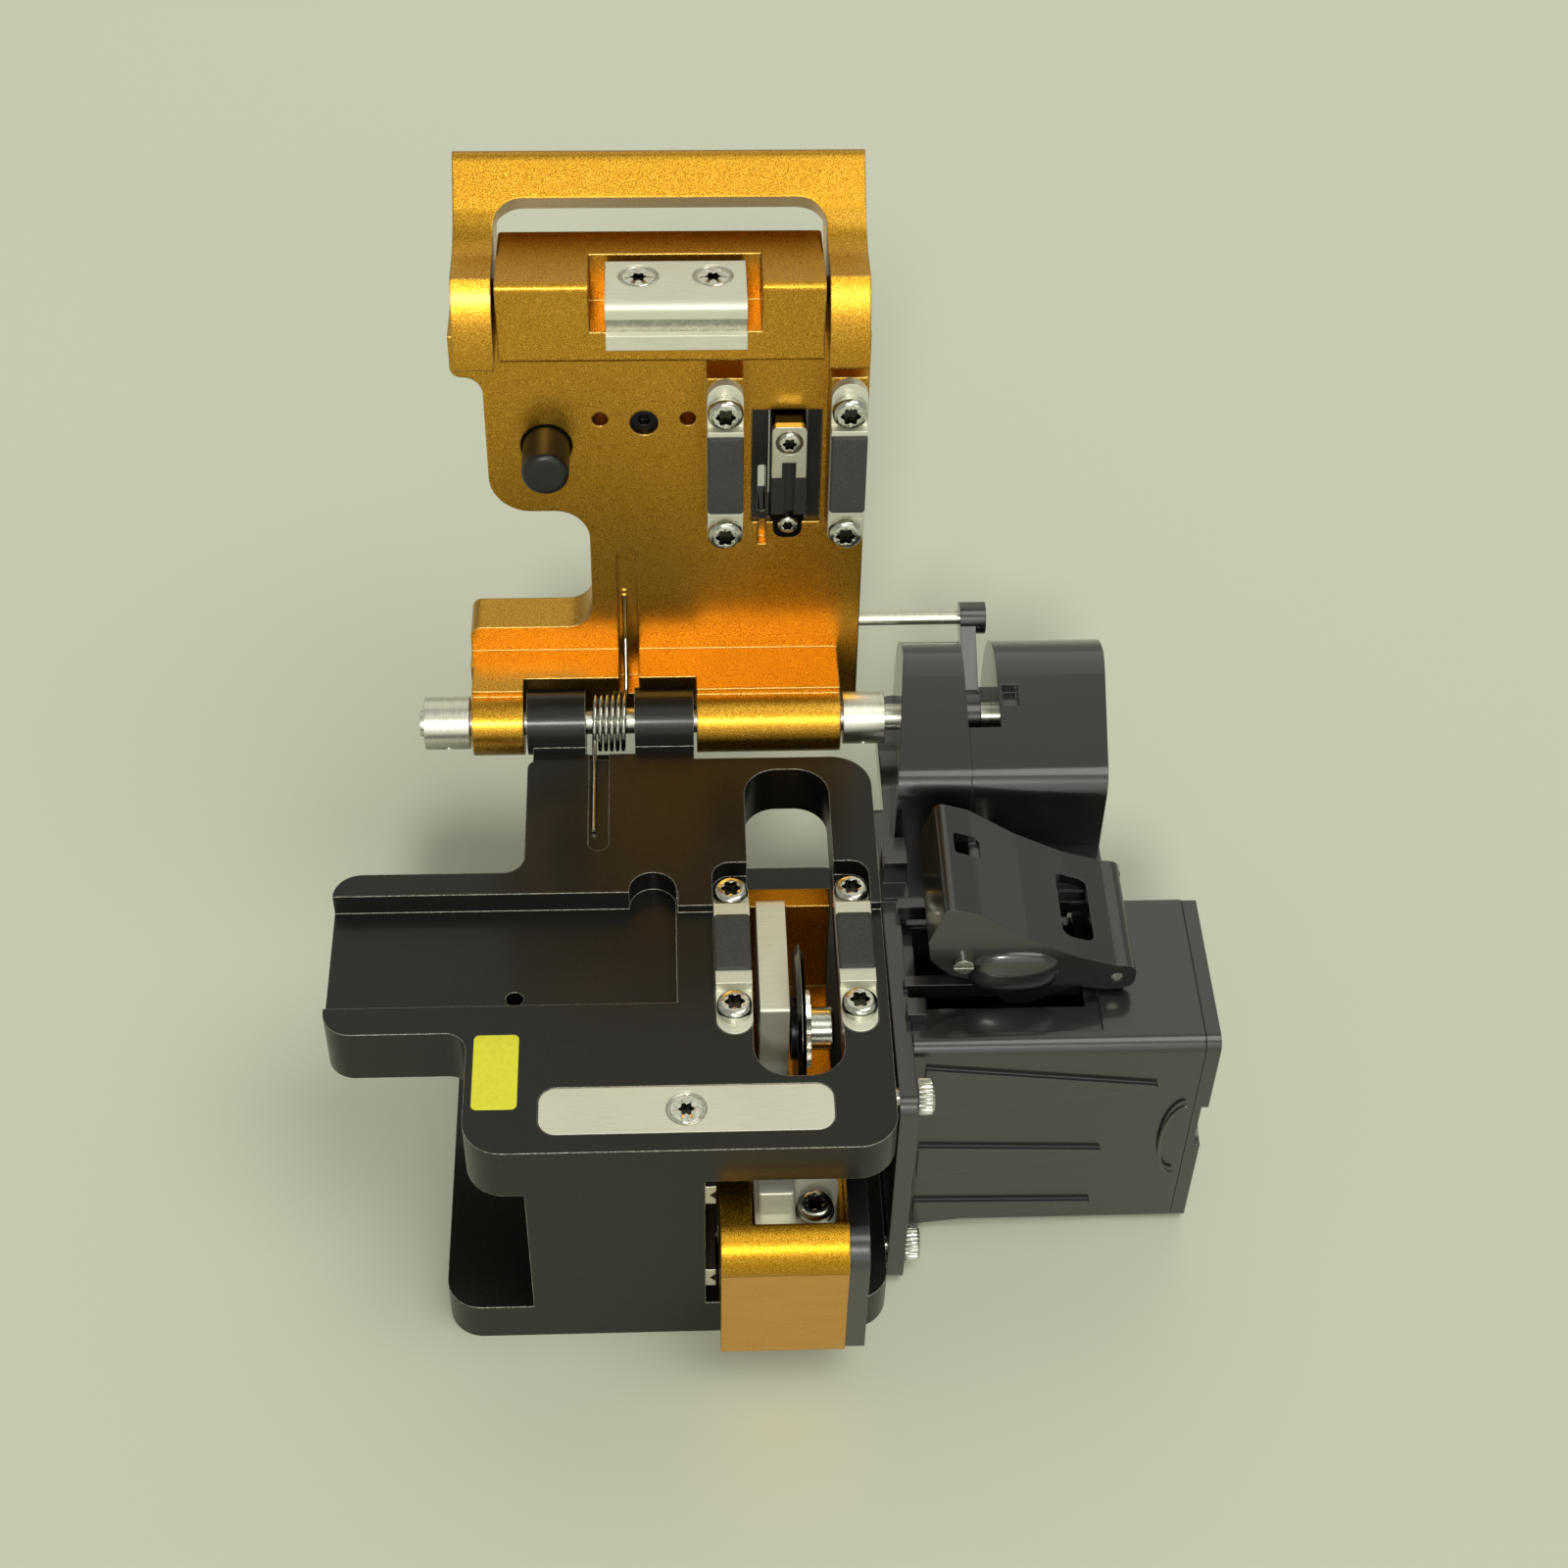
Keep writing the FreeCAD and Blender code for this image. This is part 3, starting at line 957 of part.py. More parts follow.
def bracket_screw():
    seat = BRACKET_LOW_TOP - 1.6
    washer = ring(seat, seat + WASHER_THICK, BRACKET_SCREW_X, BRACKET_SCREW_Y, BRACKET_WASHER_RADIUS, CLAMP_SCREW_SHANK + SCREW_FIT)
    screw = pan_screw(BRACKET_SCREW_X, BRACKET_SCREW_Y, seat + WASHER_THICK, CLAMP_SCREW_HEAD, 1.9, CLAMP_SCREW_SHANK, 6)
    return screw, washer


def side_cap():
    return prism("yz", [(SLIDER_FRONT + 0.3, SLIDER_BOTTOM + 0.2, 0.4), (24, SLIDER_BOTTOM + 0.2, 0.4),
                        (24, KNOB_TOP - 1, 1), (SLIDER_FRONT + 0.3, KNOB_TOP - 1, 4.6)],
                 SLIDER_RIGHT, SLIDER_RIGHT + SIDE_CAP_THICK)


def blade_group():
    half = BLADE_THICK / 2
    land = BLADE_RADIUS - 1.4
    a = BLADE_X - half
    b = BLADE_X + half
    disc = rod_x(a, b, BLADE_Y, BLADE_Z, land)
    left = Part.makeCone(land, BLADE_RADIUS, half - 0.03, V(a, BLADE_Y, BLADE_Z), V(1, 0, 0))
    right = Part.makeCone(land, BLADE_RADIUS, half - 0.03, V(b, BLADE_Y, BLADE_Z), V(-1, 0, 0))
    rim = rod_x(BLADE_X - 0.03, BLADE_X + 0.03, BLADE_Y, BLADE_Z, BLADE_RADIUS)
    disc = join([disc, left, right, rim])
    bore = rod_x(0, 30, BLADE_Y, BLADE_Z, BLADE_SHAFT + RUNNING)
    disc = disc.cut(bore)
    mount = rod_x(BRACKET_RIGHT + AIR, a, BLADE_Y, BLADE_Z, 4.4)
    mount = mount.fuse(rod_x(BRACKET_LEFT + 0.4, b + 1.6, BLADE_Y, BLADE_Z, BLADE_SHAFT)).removeSplitter()
    g0 = b + 0.1
    g1 = g0 + RATCHET_THICK
    points = []
    for k in range(RATCHET_TEETH):
        t0 = 2 * math.pi * k / RATCHET_TEETH
        t1 = 2 * math.pi * (k + 0.8) / RATCHET_TEETH
        points.append((BLADE_Y + RATCHET_RADIUS * math.cos(t0), BLADE_Z + RATCHET_RADIUS * math.sin(t0), 0))
        points.append((BLADE_Y + (RATCHET_RADIUS - 1.1) * math.cos(t1),
                       BLADE_Z + (RATCHET_RADIUS - 1.1) * math.sin(t1), 0))
    gear = prism("yz", points, g0, g1).cut(bore)
    hub = rod_x(g1, g1 + HUB_LENGTH, BLADE_Y, BLADE_Z, HUB_RADIUS)
    ends = [e for e in hub.Edges if e.Curve.TypeId == "Part::GeomCircle" and e.CenterOfMass.x > g1 + 1]
    hub = hub.makeFillet(0.5, ends)
    hub = hub.cut(rod_x(0, b + 1.6 + 0.1, BLADE_Y, BLADE_Z, BLADE_SHAFT + RUNNING))
    hub = hub.cut(box(g1 + HUB_LENGTH - 0.7, 30, BLADE_Y - 2.2, BLADE_Y + 2.2, BLADE_Z - 0.35, BLADE_Z + 0.35))
    return disc, mount, gear, hub


# ---------------------------------------------------------------- collector
def collector_frame():
    plate = prism("yz", [(FLANGE_FRONT, FLANGE_BOTTOM, 2), (FLANGE_BACK, FLANGE_BOTTOM, 3),
                         (FLANGE_BACK, FLANGE_TOP - 3.2, 1.5), (FLANGE_FRONT, FLANGE_TOP, 2.5)],
                  FLANGE_LEFT, FLANGE_RIGHT)
    shelf_top = HOUSING_BOTTOM
    shelf = prism("xy", [(FLANGE_RIGHT - 1, BIN_BACK + 2.6, 0), (HOUSING_RIGHT, BIN_BACK + 2.6, 2),
                         (HOUSING_RIGHT, HOUSING_BACK, 3), (FLANGE_RIGHT - 1, HOUSING_BACK, 3)],
                  shelf_top - SHELF_THICK, shelf_top)
    strip = box(FLANGE_LEFT, FLANGE_RIGHT + 1.4, 46.0, HOUSING_FRONT - AIR, FLANGE_TOP - 6, FLANGE_TOP - 1.4)
    block = box(FLANGE_LEFT + 0.3, FLANGE_RIGHT + 1.2, 49.0, 54.0, FLANGE_TOP - 6, FLANGE_TOP + 3.0)
    guide = box(FLANGE_RIGHT - 0.5, FLANGE_RIGHT + 2.2, 22.6, 25.6, BIN_TOP - 0.5, FLANGE_TOP + 1.0)
    parts = [plate, shelf, strip, block, guide]
    cheeks = cheek_places()
    for y0, y1 in cheeks:
        rail = box(FLANGE_RIGHT - 0.5, COVER_PIN_X, y0, y1, BIN_TOP + 0.25 - 2.8, BIN_TOP + 0.25)
        rail = rail.cut(box(BIN_MOUTH_RIGHT - AIR, 90, y0 - 1, y1 + 1, 30, BIN_TOP + 0.2))
        hub = rod_y(y0, y1, ROLLER_X, ROLLER_Z, 2.7)
        neck = box(ROLLER_X - 2.2, ROLLER_X + 2.2, y0, y1, BIN_TOP - 2.5, ROLLER_Z)
        lug = rod_y(y0, y1, COVER_PIN_X, COVER_PIN_Z, 1.6)
        stem = box(COVER_PIN_X - 1.6, COVER_PIN_X + 1.6, y0, y1, BIN_TOP + 0.2, COVER_PIN_Z)
        foot = box(COVER_PIN_X - 6, COVER_PIN_X + 1.6, y0, y1, BIN_TOP + 0.2, BIN_TOP + 0.9)
        parts += [rail, hub, neck, lug, stem, foot]
    frame = join(parts)
    frame = frame.cut([rod_y(COVER_FRONT, 70, ROLLER_X, ROLLER_Z, ROLLER_SHAFT + RUNNING),
                       rod_y(20, 60, COVER_PIN_X, COVER_PIN_Z, COVER_PIN_RADIUS + SCREW_FIT),
                       rod_x(20, 40, THUMB_Y, THUMB_HIGH_Z, THUMB_SHANK + SCREW_FIT),
                       rod_x(20, 40, THUMB_Y, THUMB_LOW_Z, THUMB_SHANK + SCREW_FIT),
                       box(20, 40, -10, 90, -10, FLANGE_BOTTOM)])
    return frame


def cheek_places():
    inner_front = COVER_FRONT + COVER_WALL + AIR
    inner_back = COVER_BACK - COVER_WALL - AIR
    return ((inner_front, inner_front + 1.8), (inner_back - 1.8, inner_back))


def bin_body():
    body = prism("yz", [(BIN_FRONT, BIN_BOTTOM, 1), (BIN_BACK, BIN_BOTTOM, 1),
                        (BIN_BACK, BIN_TOP, 1), (BIN_FRONT, BIN_TOP, BIN_EDGE)], FLANGE_RIGHT + INLAY, BIN_RIGHT)
    inner = prism("yz", [(BIN_FRONT + BIN_WALL, BIN_BOTTOM + BIN_WALL, 1),
                         (BIN_BACK - BIN_WALL, BIN_BOTTOM + BIN_WALL, 1),
                         (BIN_BACK - BIN_WALL, BIN_TOP - BIN_WALL, 1),
                         (BIN_FRONT + BIN_WALL, BIN_TOP - BIN_WALL, 1)],
                  FLANGE_RIGHT + INLAY + BIN_WALL, BIN_RIGHT + 1)
    mouth = box(FLANGE_RIGHT - 1, BIN_MOUTH_RIGHT, BIN_FRONT + BIN_MOUTH_EDGE, BIN_BACK + 1,
                BIN_TOP - 4.2, BIN_TOP + 1)
    shoulder = box(FLANGE_RIGHT - 1, BIN_MOUTH_RIGHT + 2, BIN_FRONT + 2.8, BIN_BACK + 1,
                   BIN_TOP - 0.6, BIN_TOP + 1)
    body = body.cut([inner, mouth, shoulder])
    ribs = []
    for low, high, tip, reach in RIBS:
        ribs.append(prism("xz", [(FLANGE_RIGHT + 2, low, 0), (FLANGE_RIGHT + reach, tip, 0.4),
                                 (FLANGE_RIGHT + 2, high, 0)], BIN_FRONT - RIB_PROUD, BIN_FRONT + 0.4))
    body = join([body] + ribs)
    knuckles = []
    for z0, z1 in ((5.0, 14.8), (29.2, 39.0)):
        knuckles.append(rod_z(z0, z1, DOOR_PIN_X, DOOR_PIN_Y, DOOR_KNUCKLE_RADIUS))
        knuckles.append(box(BIN_RIGHT - 2.5, DOOR_PIN_X, BIN_BACK - 0.5, DOOR_PIN_Y, z0, z1))
    body = join([body] + knuckles)
    clear = box(BIN_RIGHT, 90, BIN_FRONT - 2, BIN_BACK - 0.2, -5, 60)
    return body.cut([clear, rod_z(0, 44, DOOR_PIN_X, DOOR_PIN_Y, DOOR_PIN_RADIUS + SCREW_FIT)])


def bin_door():
    plate = prism("yz", [(BIN_FRONT, BIN_BOTTOM, 1), (BIN_BACK - 0.4, BIN_BOTTOM, 0.6),
                         (BIN_BACK - 0.4, BIN_TOP, 0.6), (BIN_FRONT, BIN_TOP, BIN_EDGE)],
                  BIN_RIGHT + INLAY, BIN_RIGHT + DOOR_THICK)
    lip = prism("yz", [(BIN_FRONT + BIN_WALL + AIR, BIN_BOTTOM + BIN_WALL + AIR, 1),
                       (BIN_BACK - 4, BIN_BOTTOM + BIN_WALL + AIR, 1),
                       (BIN_BACK - 4, BIN_TOP - BIN_WALL - AIR, 1),
                       (BIN_FRONT + BIN_WALL + AIR, BIN_TOP - BIN_WALL - AIR, 1)],
                BIN_RIGHT - 1.0, BIN_RIGHT + INLAY + 0.3)
    knuckle = rod_z(15.2, 28.8, DOOR_PIN_X, DOOR_PIN_Y, DOOR_KNUCKLE_RADIUS)
    web = box(BIN_RIGHT + 0.5, BIN_RIGHT + 1.9, BIN_BACK - 1.0, DOOR_PIN_Y, 15.2, 28.8)
    door = join([plate, lip, knuckle, web])
    grip = rod_x(BIN_RIGHT + 1.2, BIN_RIGHT + 5, BIN_FRONT + 0.2, BIN_TOP * 0.55, 4.6)
    return door.cut([grip, rod_z(0, 44, DOOR_PIN_X, DOOR_PIN_Y, DOOR_PIN_RADIUS + RUNNING)])


def bin_door_pin():
    return rod_z(5.0, 39.0, DOOR_PIN_X, DOOR_PIN_Y, DOOR_PIN_RADIUS)


def housing():
    """Drive housing in two halves: a sloping front blended into a round crown over the hinge pin."""
    a = math.radians(HOUSING_RISE)
    r = HOUSING_CROWN
    ty = HINGE_Y - r * math.sin(a)
    tz = HINGE_Z + r * math.cos(a)
    fz = tz + (HOUSING_FRONT - ty) * math.tan(a)
    first, middle, last = corner((HOUSING_FRONT, HOUSING_BOTTOM), (HOUSING_FRONT, fz), (ty, tz), HOUSING_EDGE)

    def p(y, z):
        return V(0, y, z)

    am = math.radians(90 - (90 - HOUSING_RISE) / 2.0 - HOUSING_RISE)
    edges = [Part.makeLine(p(HOUSING_FRONT, HOUSING_BOTTOM), p(*first)),
             Part.Arc(p(*first), p(*middle), p(*last)).toShape(),
             Part.makeLine(p(*last), p(ty, tz)),
             Part.Arc(p(ty, tz), p(HINGE_Y + r * math.cos(am), HINGE_Z + r * math.sin(am)),
                      p(HINGE_Y + r, HINGE_Z)).toShape(),
             Part.makeLine(p(HINGE_Y + r, HINGE_Z), p(HINGE_Y + r, HOUSING_BOTTOM)),
             Part.makeLine(p(HINGE_Y + r, HOUSING_BOTTOM), p(HOUSING_FRONT, HOUSING_BOTTOM))]
    face = Part.Face(Part.Wire(edges))
    left = face.extrude(V(HOUSING_SEAM - FLANGE_RIGHT, 0, 0))
    left.translate(V(FLANGE_RIGHT, 0, 0))
    right = face.extrude(V(HOUSING_RIGHT + HOUSING_FLARE - HOUSING_SEAM, 0, 0))
    right.translate(V(HOUSING_SEAM, 0, 0))
    flare_end = HINGE_Y + 2
    far = HINGE_Y + r + 1
    over = HINGE_Z + r + 10
    lean_in = prism("xy", [(FLANGE_RIGHT - 1, HOUSING_FRONT - 1, 0), (FLANGE_RIGHT, HOUSING_FRONT - 1, 0),
                           (FLANGE_RIGHT, HOUSING_FRONT, 0), (FLANGE_RIGHT + HOUSING_TAPER, flare_end, 0),
                           (FLANGE_RIGHT + HOUSING_TAPER, far, 0), (FLANGE_RIGHT - 1, far, 0)], 0, over)
    wide = HOUSING_RIGHT + HOUSING_FLARE
    lean_out = prism("xy", [(wide + 1, HOUSING_FRONT - 1, 0), (HOUSING_RIGHT, HOUSING_FRONT - 1, 0),
                            (HOUSING_RIGHT, HOUSING_FRONT, 0), (wide, flare_end, 0), (wide + 1, flare_end, 0)],
                     0, over)
    bore = rod_x(20, HOUSING_SEAM + 6.2, HINGE_Y, HINGE_Z, PIN_BORE)
    swing = math.hypot(ROD_U, ROD_W) + ARM_HEAD_RADIUS
    slot = box(HOUSING_SEAM, HOUSING_SEAM + ARM_SLOT, HINGE_Y - r + 0.1, far, HOUSING_BOTTOM + HOUSING_WALL,
               HINGE_Z + swing + 5)
    gears = box(ROLLER_X - PINION_RADIUS - AIR, ROLLER_X + 4.1, HOUSING_FRONT + HOUSING_WALL,
                HINGE_Y - r + 0.5, ROLLER_Z - PINION_RADIUS - AIR, ROLLER_Z + 5.2)
    shaft = rod_y(HOUSING_FRONT - 1, HOUSING_FRONT + 5, ROLLER_X, ROLLER_Z, ROLLER_SHAFT + RUNNING)
    peep_x = HOUSING_SEAM + ARM_SLOT + 0.6
    peep = box(peep_x, peep_x + PEEP_WIDTH, HINGE_Y - PEEP_LENGTH - 4.2, HINGE_Y - 4.2, HINGE_Z + r - 2.3, over)
    left = left.cut([bore, lean_in, gears])
    right = right.cut([bore, lean_out, slot, gears, shaft, peep])
    return left, right


def feed_roller():
    (a0, a1), (b0, b1) = cheek_places()
    body = rod_y(a1 + AIR, b0 - AIR, ROLLER_X, ROLLER_Z, ROLLER_RADIUS)
    shaft = rod_y(a0 + 0.1, HOUSING_FRONT + 4.0, ROLLER_X, ROLLER_Z, ROLLER_SHAFT)
    points = []
    for k in range(10):
        t0 = 2 * math.pi * k / 10
        t1 = 2 * math.pi * (k + 0.5) / 10
        root = PINION_RADIUS - 0.5
        points.append((ROLLER_X + PINION_RADIUS * math.cos(t0), ROLLER_Z + PINION_RADIUS * math.sin(t0), 0))
        points.append((ROLLER_X + root * math.cos(t1), ROLLER_Z + root * math.sin(t1), 0))
    pinion_y = HOUSING_FRONT + HOUSING_WALL + 0.4
    pinion = prism("xz", points, pinion_y, pinion_y + PINION_THICK)
    body = body.cut(rod_y(20, 60, ROLLER_X, ROLLER_Z, ROLLER_SHAFT))
    return body, join([shaft, pinion])


def pinch_roller():
    (a0, a1), (b0, b1) = cheek_places()
    tyre = rod_y(a1 + AIR, b0 - AIR, PINCH_X, PINCH_Z, PINCH_RADIUS)
    tyre = tyre.cut(rod_y(20, 60, PINCH_X, PINCH_Z, PINCH_AXLE + 0.3))
    core = rod_y(a1 + AIR, b0 - AIR, PINCH_X, PINCH_Z, PINCH_AXLE + 0.3)
    axle = rod_y(COVER_FRONT + 0.3, COVER_BACK - 0.3, PINCH_X, PINCH_Z, PINCH_AXLE)
    return tyre, join([core, axle])


def collector_cover():
    """Hinged cover over the rollers: sloping top, low belly between the walls, lug at the pin."""
    lug = COVER_LUG
    px = COVER_PIN_X
    pz = COVER_PIN_Z
    outer = [(31.3, 54.9, 1.0), (33.4, 62.2, 1.2), (38.0, 60.6, 3.0), (45.1, 55.4, 4.0), (52.3, 51.4, 6.0),
             (px - 0.4, pz + lug, 1.6), (px + lug, pz + lug - 0.3, 1.8), (px + lug, pz - lug + 0.3, 1.8),
             (57.0, pz - lug, 1.0), (53.0, 44.8, 3.0), (49.7, 43.2, 3.0), (45.6, 40.6, 3.0),
             (42.6, 41.6, 1.2), (39.9, 47.2, 1.2), (38.7, 50.2, 0.5), (37.6, 46.8, 0.5),
             (34.8, 47.7, 1.5), (31.8, 51.0, 1.5)]
    body = prism("xz", outer, COVER_FRONT, COVER_BACK)
    top = pz + lug - 0.9
    hollow = prism("xz", [(33.2, 40, 0), (33.2, 54.0, 0), (34.6, 60.2, 0), (37.6, 59.1, 2.0),
                          (44.5, 54.0, 4.0), (51.8, 50.0, 5.0), (px - 2.6, top, 2.0),
                          (px + 6, top, 0), (px + 6, 40, 0)],
                   COVER_FRONT + COVER_WALL, COVER_BACK - COVER_WALL)
    gap = box(35, ROLLER_X + 2.6, COVER_BACK - COVER_WALL - 0.5, COVER_BACK + 1, 38, ROLLER_Z + 2.6)
    window = slab(50.6, 55.2, COVER_FRONT + 3.4, COVER_BACK - 4.6, 1.2, pz + 1.2, 60)
    press = slab(35.4, 39.2, 37.8, 41.6, 0.6, 59.0, 70)
    body = body.cut([hollow, gap, window, press])
    return body.cut([rod_y(20, 60, px, pz, COVER_PIN_RADIUS + RUNNING),
                     rod_y(20, 60, PINCH_X, PINCH_Z, PINCH_AXLE + RUNNING),
                     rod_y(20, COVER_FRONT + 2, COVER_SCREW_X, COVER_SCREW_Z, COVER_SCREW_SHANK + SCREW_FIT)])


def cover_screw():
    head = rod_y(COVER_FRONT - 1.0, COVER_FRONT, COVER_SCREW_X, COVER_SCREW_Z, 1.4)
    shank = rod_y(COVER_FRONT, COVER_FRONT + COVER_WALL, COVER_SCREW_X, COVER_SCREW_Z, COVER_SCREW_SHANK)
    return head.fuse(shank).cut(box(30, 40, COVER_FRONT - 2, COVER_FRONT - 0.5,
                                     COVER_SCREW_Z - 0.2, COVER_SCREW_Z + 0.2))


def cover_pin():
    return rod_y(COVER_FRONT + 0.1, COVER_BACK - 0.1, COVER_PIN_X, COVER_PIN_Z, COVER_PIN_RADIUS)


def thumbscrews():
    screws = []
    for z, inner in ((THUMB_HIGH_Z, DECK_RIGHT), (THUMB_LOW_Z, FOOT_RIGHT)):
        seat = FLANGE_RIGHT
        head = rod_x(seat, seat + THUMB_LENGTH, THUMB_Y, z, THUMB_RADIUS)
        cuts = []
        for k in range(12):
            a = 2 * math.pi * k / 12
            y = THUMB_Y + THUMB_RADIUS * math.cos(a)
            cuts.append(rod_x(seat + 0.4, seat + THUMB_LENGTH + 1, y, z + THUMB_RADIUS * math.sin(a), 0.35))
        cuts.append(box(seat + THUMB_LENGTH - 1.0, 60, THUMB_Y - 4, THUMB_Y + 4, z - 0.4, z + 0.4))
        head = head.cut(cuts)
        screws.append(head.fuse(rod_x(inner - 5, seat, THUMB_Y, z, THUMB_SHANK)))
    return group(screws)


# ---------------------------------------------------------------- build and write
DOOR_PIN_X = BIN_RIGHT + DOOR_THICK / 2 + 0.1
DOOR_PIN_Y = BIN_BACK + 1.5

save("base_block", base_block())
save("strike_plate", strike_plate())
save("strike_plate_screw", csk_screw(STRIKE_SCREW_X, STRIKE_SCREW_Y, DECK_TOP))
for name, shape in zip(("bars", "pads", "screws", "washers"), lower_clamps()):
    save("lower_clamp_" + name, shape)
save("guide_rails_fixed", fixed_rails())
save("hinge_pin", hinge_pin())
collar_parts, collar_screws = collars()
save("hinge_collars", collar_parts)
save("collar_set_screws", collar_screws)
save("torsion_spring", torsion_spring())

save("lid_plate", stand(lid_plate()))
save("lid_handle", stand(lid_handle()))
poles, magnet, magnet_screws = magnets()
save("magnet_poles", stand(poles))
save("magnet", stand(magnet))
save("magnet_screws", stand(magnet_screws))
for name, shape in zip(("bars", "pads", "screws", "washers"), upper_clamps()):
    save("upper_clamp_" + name, stand(shape))
save("anvil_frame", stand(anvil_frame()))
save("adjusting_screw", stand(adjusting_screw()))
rod_part, arm_part = drive()
save("drive_rod", stand(rod_part))
save("drive_arm", stand(arm_part))
save("rubber_plunger", stand(plunger()))
holder_part, pad_part, anvil_screw_parts = anvil()
save("anvil_holder", stand(holder_part))
save("anvil_pad", stand(pad_part))
save("anvil_screws", stand(anvil_screw_parts))

save("slider_body", slider_body())
save("guide_rails_moving", moving_rails())
save("blade_bracket", blade_bracket())
screw_part, washer_part = bracket_screw()
save("bracket_screw", screw_part)
save("bracket_washer", washer_part)
save("side_cap", side_cap())
for name, shape in zip(("blade_disc", "blade_mount", "ratchet_gear", "blade_hub"), blade_group()):
    save(name, shape)

save("collector_frame", collector_frame())
save("thumbscrews", thumbscrews())
save("bin_body", bin_body())
save("bin_door_pin", bin_door_pin())
save("bin_door", bin_door())
left_part, right_part = housing()
save("drive_housing_left", left_part)
save("drive_housing_right", right_part)
save("cover_pin", cover_pin())
save("collector_cover", collector_cover())
save("cover_screw", cover_screw())
tyre_part, axle_part = pinch_roller()
save("pinch_roller", tyre_part)
save("pinch_axle", axle_part)
roller_part, shaft_part = feed_roller()
save("feed_roller", roller_part)
save("feed_shaft", shaft_part)
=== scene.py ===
"""Looks of the fibre cleaver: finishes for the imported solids, and the small formed pieces. Some replace
plain solids (screws with driver recesses, clamp pads, plunger, coil spring, thumbscrews, rollers), and
some are added to them (bracket step, cover cheek and boss, finger mark, plain label).

All lengths in this script are millimetres unless a name ends in _m.
"""

import json
import math

import bmesh
import bpy
import numpy as np
from mathutils import Matrix, Vector


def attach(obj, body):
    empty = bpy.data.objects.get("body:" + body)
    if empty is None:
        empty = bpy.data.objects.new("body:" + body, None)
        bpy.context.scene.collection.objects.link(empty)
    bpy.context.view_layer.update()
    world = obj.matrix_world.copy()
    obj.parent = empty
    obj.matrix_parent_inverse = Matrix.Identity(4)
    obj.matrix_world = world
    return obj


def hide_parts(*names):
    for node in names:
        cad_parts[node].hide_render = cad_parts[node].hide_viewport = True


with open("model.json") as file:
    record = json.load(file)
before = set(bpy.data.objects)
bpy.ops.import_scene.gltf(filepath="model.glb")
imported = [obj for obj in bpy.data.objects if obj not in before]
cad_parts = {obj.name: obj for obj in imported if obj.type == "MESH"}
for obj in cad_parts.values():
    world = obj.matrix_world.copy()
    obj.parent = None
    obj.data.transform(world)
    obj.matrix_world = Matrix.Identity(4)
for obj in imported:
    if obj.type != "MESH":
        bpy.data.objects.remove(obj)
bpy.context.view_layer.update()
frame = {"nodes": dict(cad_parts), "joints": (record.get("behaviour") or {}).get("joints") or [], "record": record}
MM = 0.001

# ---------------------------------------------------------------- sizes of the formed pieces
# screws with a six-pointed driver recess
SCREW_DOME = 0.55                   # share of a head's height that is domed
STAR_POINTS = 6
STAR_DEPTH = 0.9
STAR_SWELL = 0.17                   # how far the star's points stand out, as a share of its radius
STAR_COLUMNS = 12 * STAR_POINTS
PAN_STAR = 0.48                     # recess radius as a share of a pan head's
SUNK_STAR_SHARE = 0.36              # the same where the head is countersunk
PAN_RINGS, SUNK_RINGS = 16, 13      # rings in each kind's profile
CLAMP_SCREW_LONG = 4.5
SUNK_SHANK = 1.5
# the anvil's two screws: head radius, head height, recess radius, shank radius, shank length
ANVIL_TOP_SCREW = (1.9, 1.3, 0.85, 1.0, 5.0)
ANVIL_FOOT_SCREW = (1.5, 1.1, 0.7, 0.8, 3.0)
ANVIL_FOOT_SEAT = 0.9               # from the foot screw's top down to its seat

# blade bracket's steel step, measured from the bracket, its screw and its washer
STEP_FROM_LEFT, STEP_FROM_WASHER = 0.5, 0.35
STEP_START, STEP_END = 1.2, 9.0
STEP_TALL = 6.3
STEP_CORNER, STEP_EDGE = 0.5, 0.25

# rubber
PAD_CORNER, PAD_EDGE = 0.5, 0.35
PAD_OVER_HEAD = 0.05                # a pad's half width, beyond a screw head's radius
PLUNGER_EDGE = 0.9

# coil spring
WIRE = 0.35
TURNS = 5.5
COIL = 4.35
SPRING_SMOOTH = 28                  # points to a turn of the coil
FRONT_LEG_ROOT, BACK_LEG_ROOT = 8.2, 7.6    # where each leg leaves the coil, from the hinge's axis

# thumbscrews and rollers
KNURL_COUNT = 24
KNURL_DEPTH = 0.16
COLLAR_FLANGE = 2.5                 # thickness of the flange that the thumbscrews bear on
ROLLER_GROOVES = 18
ROLLER_GROOVE_DEPTH = 0.28
TYRE_GROOVES = 6
ROLLER_BORE, ROLLER_EDGE = 1.2, 0.4

# moulded detail of the collector, measured from the pinch roller's axle, the bin and its door
CHEEK_FROM_AXLE = (-4.6, 0.6)
CHEEK_HALF = (6.4, 4.3)
CHEEK_PROUD, CHEEK_POWER = 1.5, 2.6
BOSS = [(1.15, -0.2), (1.15, 0.45), (1.7, 0.45), (1.95, 0.2), (1.95, -0.2)]     # radius and height
MARK_WIDE, MARK_HALF_TALL = 2.8, 8.2
MARK_MIDDLE = 20.8                  # above the bin's underside
MARK_FROM_DOOR, MARK_SUNK = 0.2, 0.06
MARK_LINE = 0.26

# plain label, placed from the strike plate
LABEL_WIDE, LABEL_LONG = 6.2, 12.6
LABEL_THICK = 0.12
LABEL_CORNER, LABEL_EDGE = 0.8, 0.04
LABEL_FROM_PLATE, LABEL_OVERLAP = 2.9, 3.4

# the slider's front is milled behind this depth and below this drop from its top
MILLED_DEEP, MILLED_DROP = 0.85, 8.4
HOLDER_PLATE = 1.2                  # the bright plate on the anvil's holder
DRIFT = 14.0                        # size of the slow change of tone over any finish


